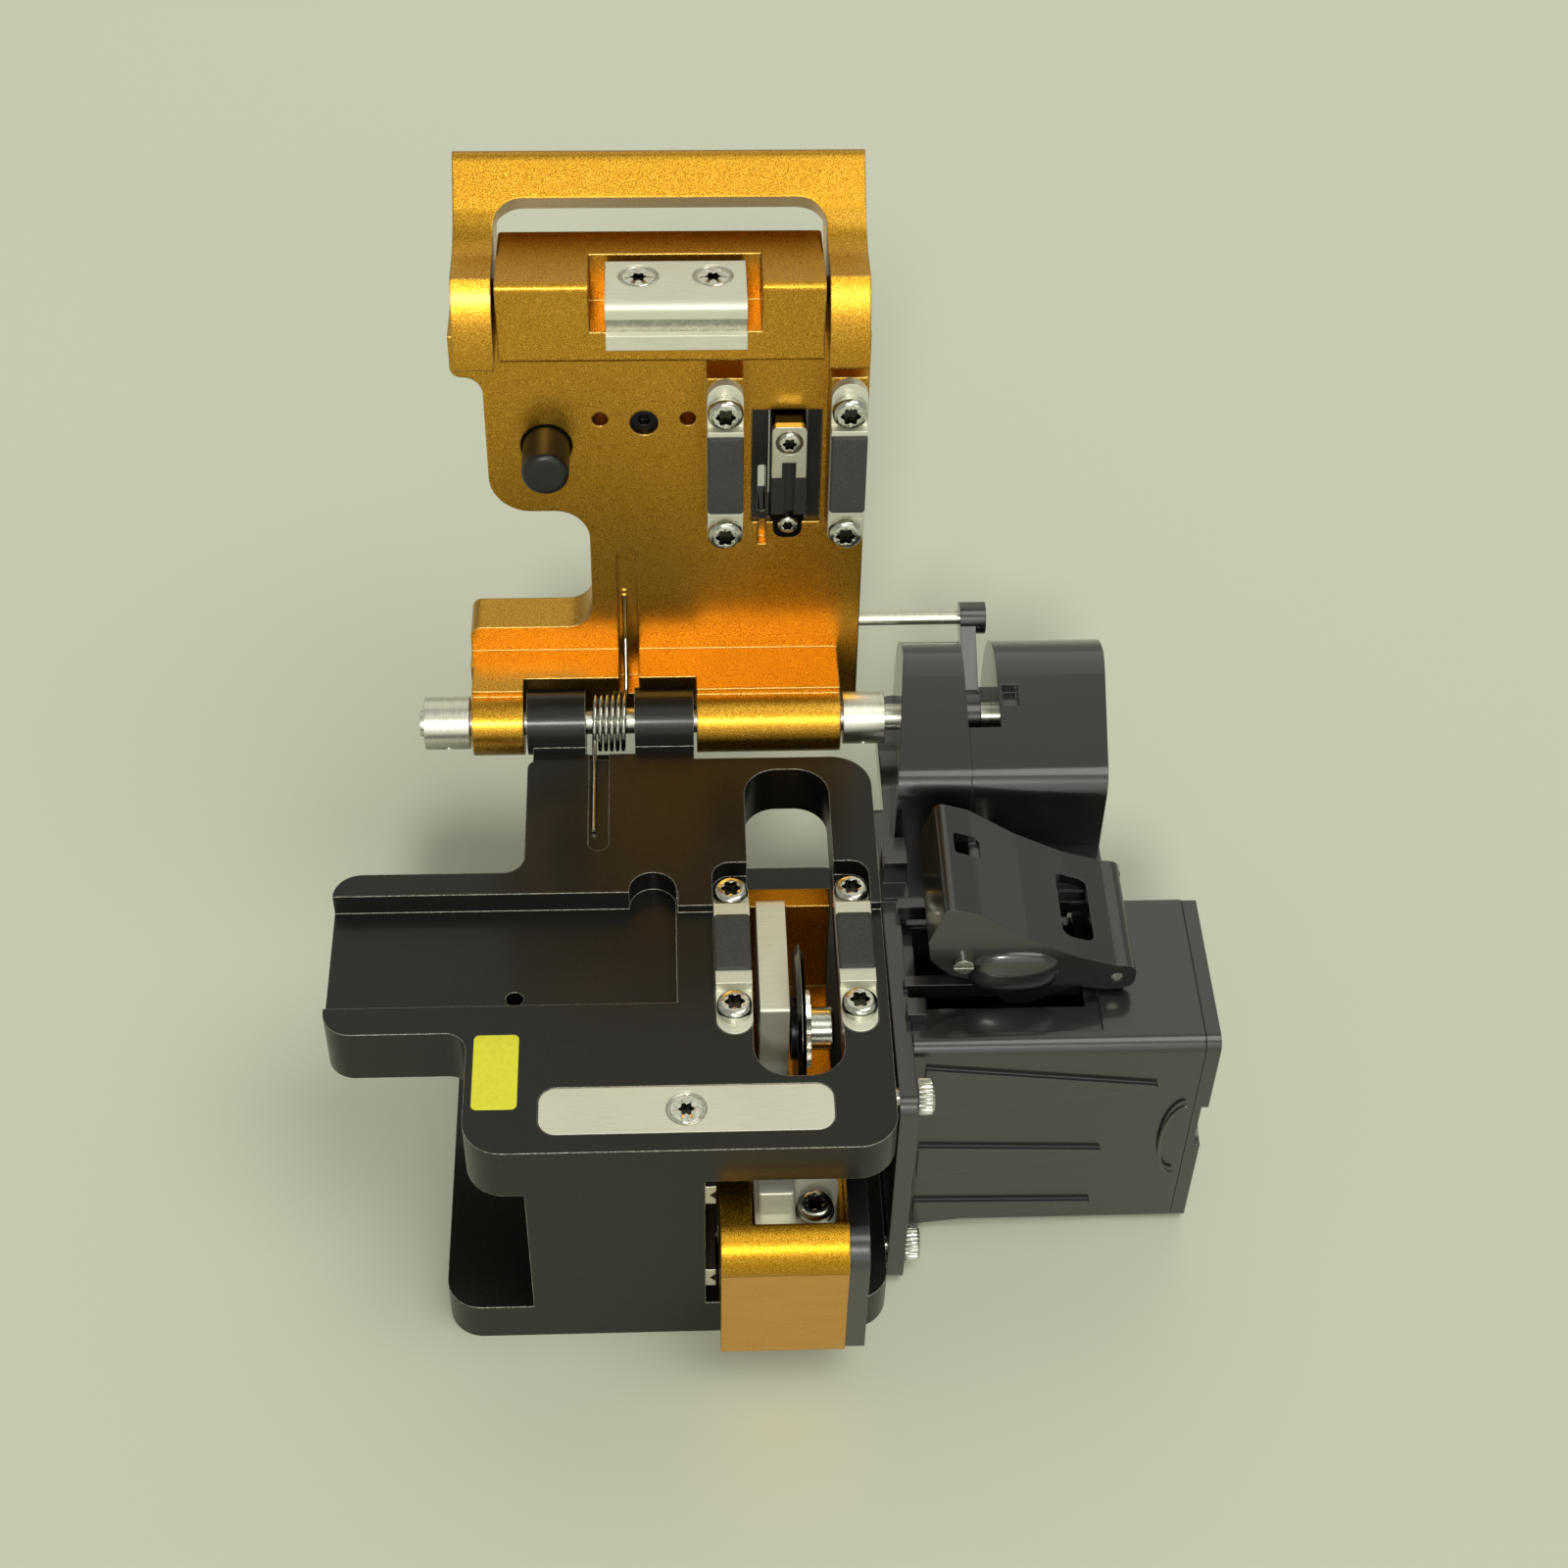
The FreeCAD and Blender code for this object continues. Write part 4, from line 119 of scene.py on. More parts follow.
# ---------------------------------------------------------------- reading the frame
def points(node):
    """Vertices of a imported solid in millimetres."""
    mesh = frame["nodes"][node].data
    flat = np.empty(len(mesh.vertices) * 3, np.float32)
    mesh.vertices.foreach_get("co", flat)
    return flat.reshape(-1, 3).astype(float) / MM


def span(node):
    """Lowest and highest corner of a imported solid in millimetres."""
    p = points(node)
    return p.min(0), p.max(0)


def joint(name):
    return [j for j in frame["joints"] if j["name"] == name][0]


HINGE = np.array(joint("lid_hinge")["pos_m"]) / MM * np.array([0, 1, 1])
LID_NORMAL = np.array(joint("anvil_slide")["axis"], float)
LID_NORMAL /= np.linalg.norm(LID_NORMAL)
LID_SIDE = np.array([1.0, 0.0, 0.0])
LID_ALONG = np.cross(LID_NORMAL, LID_SIDE)
LID_ALONG *= np.sign(LID_ALONG[2])
LID_BASIS = np.array([LID_SIDE, LID_ALONG, LID_NORMAL])
LEVEL_BASIS = np.eye(3)


def lid_span(node):
    """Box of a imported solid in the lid's own frame: side, along, out of the inner face."""
    p = (points(node) - HINGE) @ LID_BASIS.T
    return p.min(0), p.max(0)


def from_lid(x, u, w):
    return HINGE + np.array([x, u, w]) @ LID_BASIS


# ---------------------------------------------------------------- surfaces
def put(name, verts, faces, body, slot, material, node=None, recess=None):
    """Mesh from a vertex array and face arrays, with outward faces and smooth shading.

    recess marks the vertices down in a driver recess, where the colour gets painted shade."""
    mesh = bpy.data.meshes.new(name)
    mesh.from_pydata((verts * MM).tolist(), [], [f for block in faces for f in block.tolist()])
    mesh.validate()
    # painted shade: a float attribute marks the recess vertices whose colour is darkened
    if recess is not None:
        deep = mesh.attributes.new("recess", "FLOAT", "POINT")
        deep.data.foreach_set("value", np.resize(recess, len(verts)).astype(np.float32))
    built = bmesh.new()
    built.from_mesh(mesh)
    bmesh.ops.remove_doubles(built, verts=built.verts, dist=1e-7)
    bmesh.ops.recalc_face_normals(built, faces=built.faces)
    built.to_mesh(mesh)
    built.free()
    mesh.shade_smooth()
    mesh.set_sharp_from_angle(angle=math.radians(38))
    obj = bpy.data.objects.new(name, mesh)
    bpy.context.scene.collection.objects.link(obj)
    obj.data.materials.append(material)
    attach(obj, body)
    if node:
        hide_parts(*node)
    return obj


def skin(rings):
    """Faces of a stack of closed rings (rows, columns, 3), with a fan to a pole at each end."""
    rows, cols = rings.shape[:2]
    verts = np.vstack([rings.reshape(-1, 3), rings[0].mean(0), rings[-1].mean(0)])
    r, c = np.meshgrid(np.arange(rows - 1), np.arange(cols), indexing="ij")
    a = r * cols + c
    b = r * cols + (c + 1) % cols
    quads = np.stack([a, b, b + cols, a + cols], -1).reshape(-1, 4)
    col = np.arange(cols)
    foot = np.stack([np.full(cols, rows * cols), (col + 1) % cols, col], -1)
    top = np.stack([np.full(cols, rows * cols + 1), (rows - 1) * cols + col,
                    (rows - 1) * cols + (col + 1) % cols], -1)
    return verts, [quads, np.vstack([foot, top])]


def gather(parts):
    """Several skins as one."""
    verts, faces, offset = [], [], 0
    for v, blocks in parts:
        verts.append(v)
        faces += [b + offset for b in blocks]
        offset += len(v)
    return np.vstack(verts), faces


def turned(profile, swell, count, place, basis):
    """Turned form: ring k lies at height profile[k, 1], and its radius is profile[k, 0] times
    (1 + swell[k] cos(count angle))."""
    profile = np.asarray(profile, float)
    angle = np.linspace(0, 2 * np.pi, 12 * max(count, 6), endpoint=False)
    radius = profile[:, :1] * (1 + np.asarray(swell, float)[:, None] * np.cos(count * angle))
    local = np.stack([radius * np.cos(angle), radius * np.sin(angle),
                      np.broadcast_to(profile[:, 1:], radius.shape)], -1)
    return skin(local @ basis + place)


def hoop(section, place, basis):
    """Ring with a closed section: the outline of (radius, height) points is turned about the axis, so that a
    point of it at angle a lies at radius times (cos a, sin a)."""
    section = np.asarray(section, float)
    rows, cols = len(section), 48
    angle = np.linspace(0, 2 * np.pi, cols, endpoint=False)
    rings = np.stack([section[:, :1] * np.cos(angle), section[:, :1] * np.sin(angle),
                      np.broadcast_to(section[:, 1:], (rows, cols))], -1)
    r, c = np.meshgrid(np.arange(rows), np.arange(cols), indexing="ij")
    following, beside = (r + 1) % rows * cols, (c + 1) % cols
    quads = np.stack([r * cols + c, r * cols + beside, following + beside, following + c], -1)
    return (rings @ basis + place).reshape(-1, 3), [quads.reshape(-1, 4)]


def soft_slab(half_x, half_y, low, high, corner, edge, crown, place, basis):
    """Rounded rectangle drawn in along quarter circles of radius edge at top and bottom.

    The outline is corner centre plus corner radius times (cos, sin); the top swells by crown."""
    turn = np.linspace(0, 2 * np.pi, 48, endpoint=False) + np.pi / 48
    quarter = np.linspace(0, np.pi / 2, 6)
    inset = np.concatenate([edge * (1 - np.sin(quarter)), edge * (1 - np.cos(quarter))])
    level = np.concatenate([low + edge * (1 - np.cos(quarter)), high - edge + edge * np.sin(quarter)])
    cx = np.sign(np.cos(turn)) * (half_x - corner)
    cy = np.sign(np.sin(turn)) * (half_y - corner)
    rad = np.maximum(corner - inset[:, None], 0.02)
    over = np.minimum(corner - inset[:, None] - 0.02, 0)
    x = cx * (1 + over / (half_x - corner)) + rad * np.cos(turn)
    y = cy * (1 + over / (half_y - corner)) + rad * np.sin(turn)
    local = np.stack([x, y, np.broadcast_to(level[:, None], x.shape)], -1)
    inner = local[-1] * np.array([0.6, 0.6, 0]) + np.array([0, 0, high + crown])
    local = np.concatenate([local, inner[None]])
    return skin(local @ basis + place)


def tube(path, radius, around=12, across=(1, 0, 0)):
    """Round wire: a circle of the given radius carried square to the path's tangent."""
    tangent = np.gradient(path, axis=0)
    tangent /= np.linalg.norm(tangent, axis=1)[:, None]
    side = np.cross(tangent, across)
    side /= np.linalg.norm(side, axis=1)[:, None]
    other = np.cross(tangent, side)
    angle = np.linspace(0, 2 * np.pi, around, endpoint=False)
    ring = np.cos(angle)[None, :, None] * side[:, None] + np.sin(angle)[None, :, None] * other[:, None]
    return skin(path[:, None] + radius * ring)


def screw_head(head, tall, star, shank, long, place, basis):
    """Turned form: a plain shank, a head domed along a quarter circle, and a six-pointed driver recess."""
    dome = tall * SCREW_DOME
    profile = [(0.12 * star, tall - STAR_DEPTH), (0.92 * star, tall - STAR_DEPTH), (star, tall - 0.06),
               (1.06 * star, tall - 0.01)]
    swell = [0, STAR_SWELL, STAR_SWELL, STAR_SWELL * 0.9]
    first = 1.28 * star
    for t in np.linspace(0.18, 1.0, 7) * math.pi / 2:
        profile.append((first + (head - first) * math.sin(t), tall - dome * (1 - math.cos(t))))
        swell.append(0)
    profile += [(head, 0.12), (head - 0.12, 0.0), (shank, -0.02), (shank, 0.3 - long), (shank - 0.3, -long)]
    swell += [0] * 5
    return turned(profile, swell, STAR_POINTS, place, basis)


def sunk_head(head, shank, star, long, place, basis):
    """Turned form: a flat countersunk head just under its plate's face, with the same recess, and a
    turned rim."""
    profile = [(0.12 * star, -STAR_DEPTH), (0.92 * star, -STAR_DEPTH), (star, -0.16), (1.1 * star, -0.1),
               (head - 0.55, -0.1), (head - 0.42, -0.22), (head - 0.3, -0.22), (head - 0.2, -0.1),
               (head - 0.08, -0.14), (head, -0.3), (shank, shank - head - 0.2), (shank, -long),
               (shank - 0.3, -long - 0.01)]
    swell = [0, STAR_SWELL, STAR_SWELL, STAR_SWELL] + [0] * 9
    return turned(profile, swell, STAR_POINTS, place, basis)


def recess_shade_marks(rings, deep=3):
    """Marks of painted shade for one screw of that many rings: 1 on the first rings and their pole, 0 elsewhere.
    """
    return np.concatenate([np.ones(deep * STAR_COLUMNS), np.zeros((rings - deep) * STAR_COLUMNS), [1.0, 0.0]])


def dish(centre, half, proud, power, place_y):
    """Low swelling on a front face: its footprint is |x/a|^p + |z/b|^p = 1, and at the share t of that
    footprint it stands proud times (1 - t^2)^0.6 to the front."""
    angle = np.linspace(0, 2 * np.pi, 60, endpoint=False)
    t = np.concatenate([[1.0], np.linspace(1.0, 0.12, 12)])[:, None]
    x = centre[0] + half[0] * t * np.sign(np.cos(angle)) * np.abs(np.cos(angle)) ** (2 / power)
    z = centre[1] + half[1] * t * np.sign(np.sin(angle)) * np.abs(np.sin(angle)) ** (2 / power)
    height = proud * (1 - t ** 2) ** 0.6
    height[0] = -0.3
    y = place_y - np.broadcast_to(height, x.shape)
    return skin(np.stack([x, y, z], -1))


# ---------------------------------------------------------------- materials
def linear(code):
    """sRGB hex colour as linear values."""
    srgb = np.array([int(code[i:i + 2], 16) for i in (1, 3, 5)]) / 255
    low = srgb / 12.92
    high = ((srgb + 0.055) / 1.055) ** 2.4
    return (*np.where(srgb <= 0.04045, low, high), 1.0)


def add(tree, kind, settings=None, links=None, stops=()):
    """Adds a node: settings name its own properties or its inputs, links name the sockets that feed it, and
    stops are (position, hex) pairs where it holds a ramp."""
    made = tree.nodes.new(kind)
    for key, value in (settings or {}).items():
        if isinstance(key, str) and hasattr(made, key):
            setattr(made, key, value)
        else:
            made.inputs[key].default_value = value
    for key, (source, socket) in (links or {}).items():
        tree.links.new(source.outputs[socket], made.inputs[key])
    for index, (position, code) in enumerate(stops):
        held = made.color_ramp.elements
        stop = held[index] if index < len(held) else held.new(position)
        stop.position = position
        stop.color = linear(code)
    return made


def edge_share(tree, width):
    """How far the rounded normal leaves the flat one: 0 on faces, rising at edges narrower than width."""
    rounded = add(tree, "ShaderNodeBevel", {"samples": 6, "Radius": width * MM})
    plain = add(tree, "ShaderNodeNewGeometry")
    along = add(tree, "ShaderNodeVectorMath", {"operation": "DOT_PRODUCT"},
                {0: (rounded, "Normal"), 1: (plain, "Normal")})
    share = add(tree, "ShaderNodeMapRange", {"From Min": 0.995, "From Max": 0.86},
                {"Value": (along, "Value")})
    return rounded, share


def finish_of(name, stops, edge_highlight, metal, rough, grit, bump, edge=0.25, edge_gain=0.5, stretch=(1, 1, 1),
              rough_swing=0.1, ior=None, coat=0.0, coat_rough=0.14, broken=0.0, recess_shade=False):
    """A surface from its real grit: speckle of the grit's size, soft patches, rounded edges with a painted
    highlight along them.

    stops are the tones across the speckle, and the tone after them is that of the painted highlight along edges;
    grit is the speckle in mm, drawn no finer than it can show; edge is the width of that painted edge highlight in
    mm; broken is how far the speckle breaks that highlight up; the last flag paints shade down in a driver recess,
    darkening the vertices marked there."""
    made = bpy.data.materials.new(name)
    made.use_nodes = True
    tree = made.node_tree
    tree.nodes.clear()
    place = add(tree, "ShaderNodeTexCoord")
    lay = add(tree, "ShaderNodeMapping", {"Scale": stretch}, {"Vector": (place, "Object")})
    speck = add(tree, "ShaderNodeTexNoise", {"Scale": 1 / (grit * MM), "Detail": 2.0, "Roughness": 0.6},
                {"Vector": (lay, "Vector")})
    drift = add(tree, "ShaderNodeTexNoise", {"Scale": 1 / (DRIFT * MM), "Detail": 3.0, "Roughness": 0.55},
                {"Vector": (place, "Object")})
    tone = add(tree, "ShaderNodeValToRGB", links={"Fac": (speck, "Fac")}, stops=stops)
    shade = add(tree, "ShaderNodeMapRange", {"To Min": 0.9, "To Max": 1.08}, {"Value": (drift, "Fac")})
    drifted = add(tree, "ShaderNodeVectorMath", {"operation": "SCALE"},
                  {"Vector": (tone, "Color"), "Scale": (shade, "Result")})
    rounded, share = edge_share(tree, edge)
    # painted highlight: edges, as the rounded normal finds them, are mixed towards a bright tone, broken up by the
    # speckle
    gaps = add(tree, "ShaderNodeMapRange",
               {"From Min": 0.42, "From Max": 0.58, "To Min": edge_gain * (1 - broken), "To Max": edge_gain},
               {"Value": (speck, "Fac")})
    edge_highlight_share = add(tree, "ShaderNodeMath", {"operation": "MULTIPLY"},
                 {0: (share, "Result"), 1: (gaps, "Result")})
    colour = add(tree, "ShaderNodeMix", {"data_type": "RGBA", "B": linear(edge_highlight)},
                 {"Factor": (edge_highlight_share, "Value"), "A": (drifted, "Vector")})
    # painted shade: the vertices down in a driver recess are darkened
    if recess_shade:
        deep = add(tree, "ShaderNodeAttribute", {"attribute_name": "recess"})
        colour = add(tree, "ShaderNodeMix", {"data_type": "RGBA", "B": linear("#3A3832")},
                     {"Factor": (deep, "Fac"), "A": (colour, "Result")})
    gloss = add(tree, "ShaderNodeMapRange", {"To Min": rough - rough_swing, "To Max": rough + rough_swing},
                {"Value": (speck, "Fac")})
    relief = add(tree, "ShaderNodeBump", {"Strength": bump, "Distance": grit * MM * 0.4},
                 {"Height": (speck, "Fac"), "Normal": (rounded, "Normal")})
    shader = add(tree, "ShaderNodeBsdfPrincipled",
                 {"Metallic": metal, "Coat Weight": coat, "Coat Roughness": coat_rough},
                 {"Base Color": (colour, "Result"), "Roughness": (gloss, "Result"),
                  "Normal": (relief, "Normal")})
    if ior:
        shader.inputs["IOR"].default_value = ior
    add(tree, "ShaderNodeOutputMaterial", links={"Surface": (shader, "BSDF")})
    return made


def milled_front_with_painted_reflection(made, level_mm, front_mm, tones):
    """Makes what lies before front_mm and below level_mm a smooth milled face, darker along the level; its pale
    tan is partly the milled finish and partly a painted reflection of the floor.
    """
    tree = made.node_tree
    shader = [n for n in tree.nodes if n.type == "BSDF_PRINCIPLED"][0]
    blasted = shader.inputs["Base Color"].links[0].from_node
    pitted = shader.inputs["Normal"].links[0].from_node
    place = add(tree, "ShaderNodeTexCoord")
    parts = add(tree, "ShaderNodeSeparateXYZ", links={"Vector": (place, "Object")})
    below = add(tree, "ShaderNodeMath", {"operation": "LESS_THAN", 1: level_mm * MM}, {0: (parts, "Z")})
    fore = add(tree, "ShaderNodeMath", {"operation": "LESS_THAN", 1: front_mm * MM}, {0: (parts, "Y")})
    both = add(tree, "ShaderNodeMath", {"operation": "MULTIPLY"}, {0: (below, "Value"), 1: (fore, "Value")})
    lay = add(tree, "ShaderNodeMapping", {"Scale": (0.06, 1, 1)}, {"Vector": (place, "Object")})
    lines = add(tree, "ShaderNodeTexNoise", {"Scale": 1 / (0.4 * MM), "Detail": 2.0},
                {"Vector": (lay, "Vector")})
    # painted reflection: these pale tan tones stand partly for the floor mirrored in the milled front
    tan = add(tree, "ShaderNodeValToRGB", links={"Fac": (lines, "Fac")}, stops=tones)
    from_line = add(tree, "ShaderNodeMath", {"operation": "SUBTRACT", 1: level_mm * MM}, {0: (parts, "Z")})
    off = add(tree, "ShaderNodeMath", {"operation": "ABSOLUTE"}, {0: (from_line, "Value")})
    line = add(tree, "ShaderNodeMapRange",
               {"From Min": 0.10 * MM, "From Max": 0.16 * MM, "To Min": 0.45, "To Max": 1.0},
               {"Value": (off, "Value")})
    tanned = add(tree, "ShaderNodeVectorMath", {"operation": "SCALE"},
                 {"Vector": (tan, "Color"), "Scale": (line, "Result")})
    tone = add(tree, "ShaderNodeMix", {"data_type": "RGBA"},
               {"Factor": (both, "Value"), "A": (blasted, "Result"), "B": (tanned, "Vector")})
    tree.links.new(tone.outputs["Result"], shader.inputs["Base Color"])
    rest = add(tree, "ShaderNodeMapRange",
               {"To Min": pitted.inputs["Strength"].default_value, "To Max": 0.06},
               {"Value": (both, "Value")})
    tree.links.new(rest.outputs["Result"], pitted.inputs["Strength"])


def dark_behind(made, level_mm, tone):
    """Blackens a piece of the lid behind level_mm, measured out of the lid's inner face."""
    tree = made.node_tree
    shader = [n for n in tree.nodes if n.type == "BSDF_PRINCIPLED"][0]
    bright = shader.inputs["Base Color"].links[0].from_node
    place = add(tree, "ShaderNodeTexCoord")
    out = add(tree, "ShaderNodeVectorMath", {"operation": "DOT_PRODUCT", 1: tuple(LID_NORMAL)},
              {0: (place, "Object")})
    behind = add(tree, "ShaderNodeMath",
                 {"operation": "LESS_THAN", 1: (level_mm + float(HINGE @ LID_NORMAL)) * MM},
                 {0: (out, "Value")})
    tone = add(tree, "ShaderNodeMix", {"data_type": "RGBA", "B": linear(tone)},
               {"Factor": (behind, "Value"), "A": (bright, "Result")})
    tree.links.new(tone.outputs["Result"], shader.inputs["Base Color"])


# bead-blasted and gold anodised: the beads leave 0.1 mm pits, drawn at 0.16 mm so that their sparkle shows
GOLD_TONES = [(0.30, "#98690F"), (0.50, "#B98418"), (0.72, "#E6B848")]
# painted highlight along the gold's edges
GOLD_EDGE_HIGHLIGHT = "#F6DC90"
gold = finish_of("gold anodised aluminium, bead blasted", GOLD_TONES, GOLD_EDGE_HIGHLIGHT,
                 metal=1.0, rough=0.29, grit=0.16, bump=0.5, edge=0.4, edge_gain=0.5, rough_swing=0.10,
                 broken=0.5, coat=0.25, coat_rough=0.22)
# the slider is blasted on top and milled on its front, which stays smooth and tan: the tan is partly the milled
# finish and partly a painted reflection of the floor
slider_low, slider_high = span("slider_body")
slider_gold = finish_of("gold anodised aluminium, blasted and milled", GOLD_TONES, GOLD_EDGE_HIGHLIGHT,
                        metal=1.0, rough=0.29, grit=0.16, bump=0.5, edge=0.35, edge_gain=0.5,
                        rough_swing=0.10, broken=0.5)
milled_front_with_painted_reflection(slider_gold, slider_high[2] - MILLED_DROP, slider_low[1] + MILLED_DEEP,
             [(0.3, "#D09C50"), (0.7, "#D6A456")])
# black anodised over a fine blast: near-black with a satin sheen, and a painted highlight, broken up, along its
# edges
black = finish_of("black anodised aluminium", [(0.3, "#10100E"), (0.7, "#1D1C18")], "#DAD6C8",
                  metal=0.5, rough=0.36, grit=0.22, bump=0.35, edge=0.18, edge_gain=1.0, rough_swing=0.08,
                  broken=0.7, coat=0.2)
# surface-ground stainless steel: fine straight scratches across the piece
STEEL_TONES = [(0.3, "#C9C7B8"), (0.7, "#DEDCCD")]
# painted highlight along the steel's edges
STEEL_EDGE_HIGHLIGHT = "#F6F4EA"
ground = finish_of("stainless steel, ground", STEEL_TONES, STEEL_EDGE_HIGHLIGHT,
                   metal=1.0, rough=0.33, grit=0.25, bump=0.07, edge=0.2, edge_gain=0.4,
                   stretch=(1, 0.08, 0.3), rough_swing=0.06)
# the anvil's holder: a bright ground plate on a blackened block
holder_steel = finish_of("stainless steel on blackened steel", STEEL_TONES, STEEL_EDGE_HIGHLIGHT,
                         metal=1.0, rough=0.33, grit=0.25, bump=0.07, edge=0.2, edge_gain=0.4,
                         rough_swing=0.06)
dark_behind(holder_steel, lid_span("anvil_holder")[1][2] - HOLDER_PLATE, "#161618")
# satin nickel over ground steel: pale and even, it shows the light rather than a reflection
satin = finish_of("satin nickel-plated steel", [(0.3, "#DCDBC9"), (0.7, "#E6E5D4")], "#F8F6EC",
                  metal=0.7, rough=0.5, grit=0.3, bump=0.05, edge=0.2, edge_gain=0.4, stretch=(0.1, 1, 1),
                  rough_swing=0.05)
# nickel-plated screw steel: bright, slightly uneven, with painted shade darkening it down in the driver recess
plated = finish_of("nickel-plated steel", [(0.3, "#B4B3A8"), (0.7, "#DAD9CE")], "#FFFFFF",
                   metal=1.0, rough=0.2, grit=0.5, bump=0.06, edge=0.12, edge_gain=0.4, rough_swing=0.05,
                   recess_shade=True)
# spring-steel wire, drawn and bright
wire = finish_of("spring steel wire", [(0.3, "#A8A69A"), (0.7, "#CECCC0")], "#FFFFFF",
                 metal=1.0, rough=0.18, grit=0.4, bump=0.04, edge=0.1, edge_gain=0.2, rough_swing=0.05)
# polished carbide wheel: dark, with a painted highlight along its bevel
carbide = finish_of("polished carbide", [(0.3, "#29292B"), (0.7, "#37373A")], "#E8E8E8",
                    metal=1.0, rough=0.14, grit=0.5, bump=0.03, edge=0.2, edge_gain=0.9, rough_swing=0.04)
# blackened steel of the blade flange and the adjusting screw
blackened = finish_of("blackened steel", [(0.3, "#121214"), (0.7, "#1E1E21")], "#77777A",
                      metal=0.8, rough=0.34, grit=0.3, bump=0.12, edge=0.12, edge_gain=0.4)
# nitrile rubber with a ground face: matt, grey where it catches light
rubber = finish_of("nitrile rubber, ground", [(0.3, "#2E2F2C"), (0.7, "#41423E")], "#62635E",
                   metal=0.0, rough=0.72, grit=0.3, bump=0.4, edge=0.25, edge_gain=0.4, rough_swing=0.08,
                   ior=1.52)
# the anvil's rubber, harder and blacker
soft_matt = finish_of("nitrile rubber, hard", [(0.3, "#141413"), (0.7, "#20201F")], "#3A3A38",
                      metal=0.0, rough=0.6, grit=0.4, bump=0.2, edge=0.2, edge_gain=0.3, rough_swing=0.06,
                      ior=1.52)
# moulded nitrile rubber: dark with a dull shine
soft_black = finish_of("nitrile rubber, moulded", [(0.3, "#0C0C0B"), (0.7, "#161615")], "#30302E",
                       metal=0.0, rough=0.36, grit=0.6, bump=0.10, edge=0.3, edge_gain=0.3,
                       rough_swing=0.06, ior=1.52)
# injection-moulded ABS from a fine spark-eroded mould, which leaves a glossy skin over a faint texture
plastic = finish_of("black ABS, moulded", [(0.3, "#111110"), (0.7, "#141413")], "#3A3A37",
                    metal=0.0, rough=0.30, grit=0.8, bump=0.02, edge=0.35, edge_gain=0.3,
                    rough_swing=0.02, ior=1.54, coat=0.9, coat_rough=0.1)
# plain vinyl label stock
vinyl = finish_of("yellow vinyl", [(0.3, "#DEDA2C"), (0.7, "#E8E43A")], "#F2EE60",
                  metal=0.0, rough=0.42, grit=0.8, bump=0.05, edge=0.1, edge_gain=0.2, rough_swing=0.05,
                  ior=1.5)
# nickel-plated magnet
nickel = finish_of("nickel plating", [(0.3, "#8F8E84"), (0.7, "#A9A89C")], "#C8C7BC",
                   metal=1.0, rough=0.28, grit=0.5, bump=0.06, edge=0.15, edge_gain=0.2)

FINISHES = {
    "black_anodised": black, "gold_anodised": gold, "steel": ground, "screw_steel": plated,
    "blade_carbide": carbide, "spring_steel": wire, "magnet_nickel": nickel, "rubber": rubber,
    "black_steel": blackened, "black_plastic": plastic}
for part in frame["record"]["subparts"]:
    solid = frame["nodes"][part["node"]]
    solid.data.materials.clear()
    solid.data.materials.append(FINISHES[part["material_slot"]])
frame["nodes"]["slider_body"].data.materials[0] = slider_gold
frame["nodes"]["anvil_pad"].data.materials[0] = soft_matt
for node in ("strike_plate", "blade_bracket", "lower_clamp_bars", "upper_clamp_bars", "magnet_poles"):
    frame["nodes"][node].data.materials[0] = satin
frame["nodes"]["anvil_holder"].data.materials[0] = holder_steel

# ---------------------------------------------------------------- screws with a driver recess
wash_low, wash_high = span("lower_clamp_washers")
head_high = span("lower_clamp_screws")[1]
HEAD = (wash_high[1] - wash_low[1]) / 2
LEFT_BAR = wash_low[0] + HEAD
RIGHT_BAR = wash_high[0] - HEAD
FRONT_ROW = wash_low[1] + HEAD
BACK_ROW = head_high[1] - HEAD
SHANK = HEAD / 2
STAR = PAN_STAR * HEAD
SUNK_STAR = SUNK_STAR_SHARE * HEAD
TALL = head_high[2] - wash_high[2]
CLAMP_SCREW = (HEAD, TALL, STAR, SHANK, CLAMP_SCREW_LONG)

# the front row sits on washers, the back row straight on the bar
lower = []
for x in (LEFT_BAR, RIGHT_BAR):
    lower.append(screw_head(*CLAMP_SCREW, np.array([x, FRONT_ROW, wash_high[2]]), LEVEL_BASIS))
    lower.append(screw_head(*CLAMP_SCREW, np.array([x, BACK_ROW, wash_low[2]]), LEVEL_BASIS))
put("clamp_screws_below", *gather(lower), "base", "screw_steel", plated, ["lower_clamp_screws"],
    recess_shade_marks(PAN_RINGS))

up_low, up_high = lid_span("upper_clamp_washers")
top_low = lid_span("upper_clamp_screws")[0]
upper = []
for x in (LEFT_BAR, RIGHT_BAR):
    upper.append(screw_head(*CLAMP_SCREW, from_lid(x, up_high[1] - HEAD, up_high[2]), LID_BASIS))
    upper.append(screw_head(*CLAMP_SCREW, from_lid(x, top_low[1] + HEAD, up_low[2]), LID_BASIS))
put("clamp_screws_above", *gather(upper), "lid", "screw_steel", plated, ["upper_clamp_screws"],
    recess_shade_marks(PAN_RINGS))

bs_low, bs_high = span("bracket_screw")
bw_low, bw_high = span("bracket_washer")
mid = (bs_low + bs_high) / 2
put("bracket_pan_screw",
    *screw_head((bs_high[0] - bs_low[0]) / 2, bs_high[2] - bw_high[2], STAR, SHANK, bw_high[2] - bs_low[2],
                np.array([mid[0], mid[1], bw_high[2]]), LEVEL_BASIS),
    "slider", "screw_steel", plated, ["bracket_screw"], recess_shade_marks(PAN_RINGS))

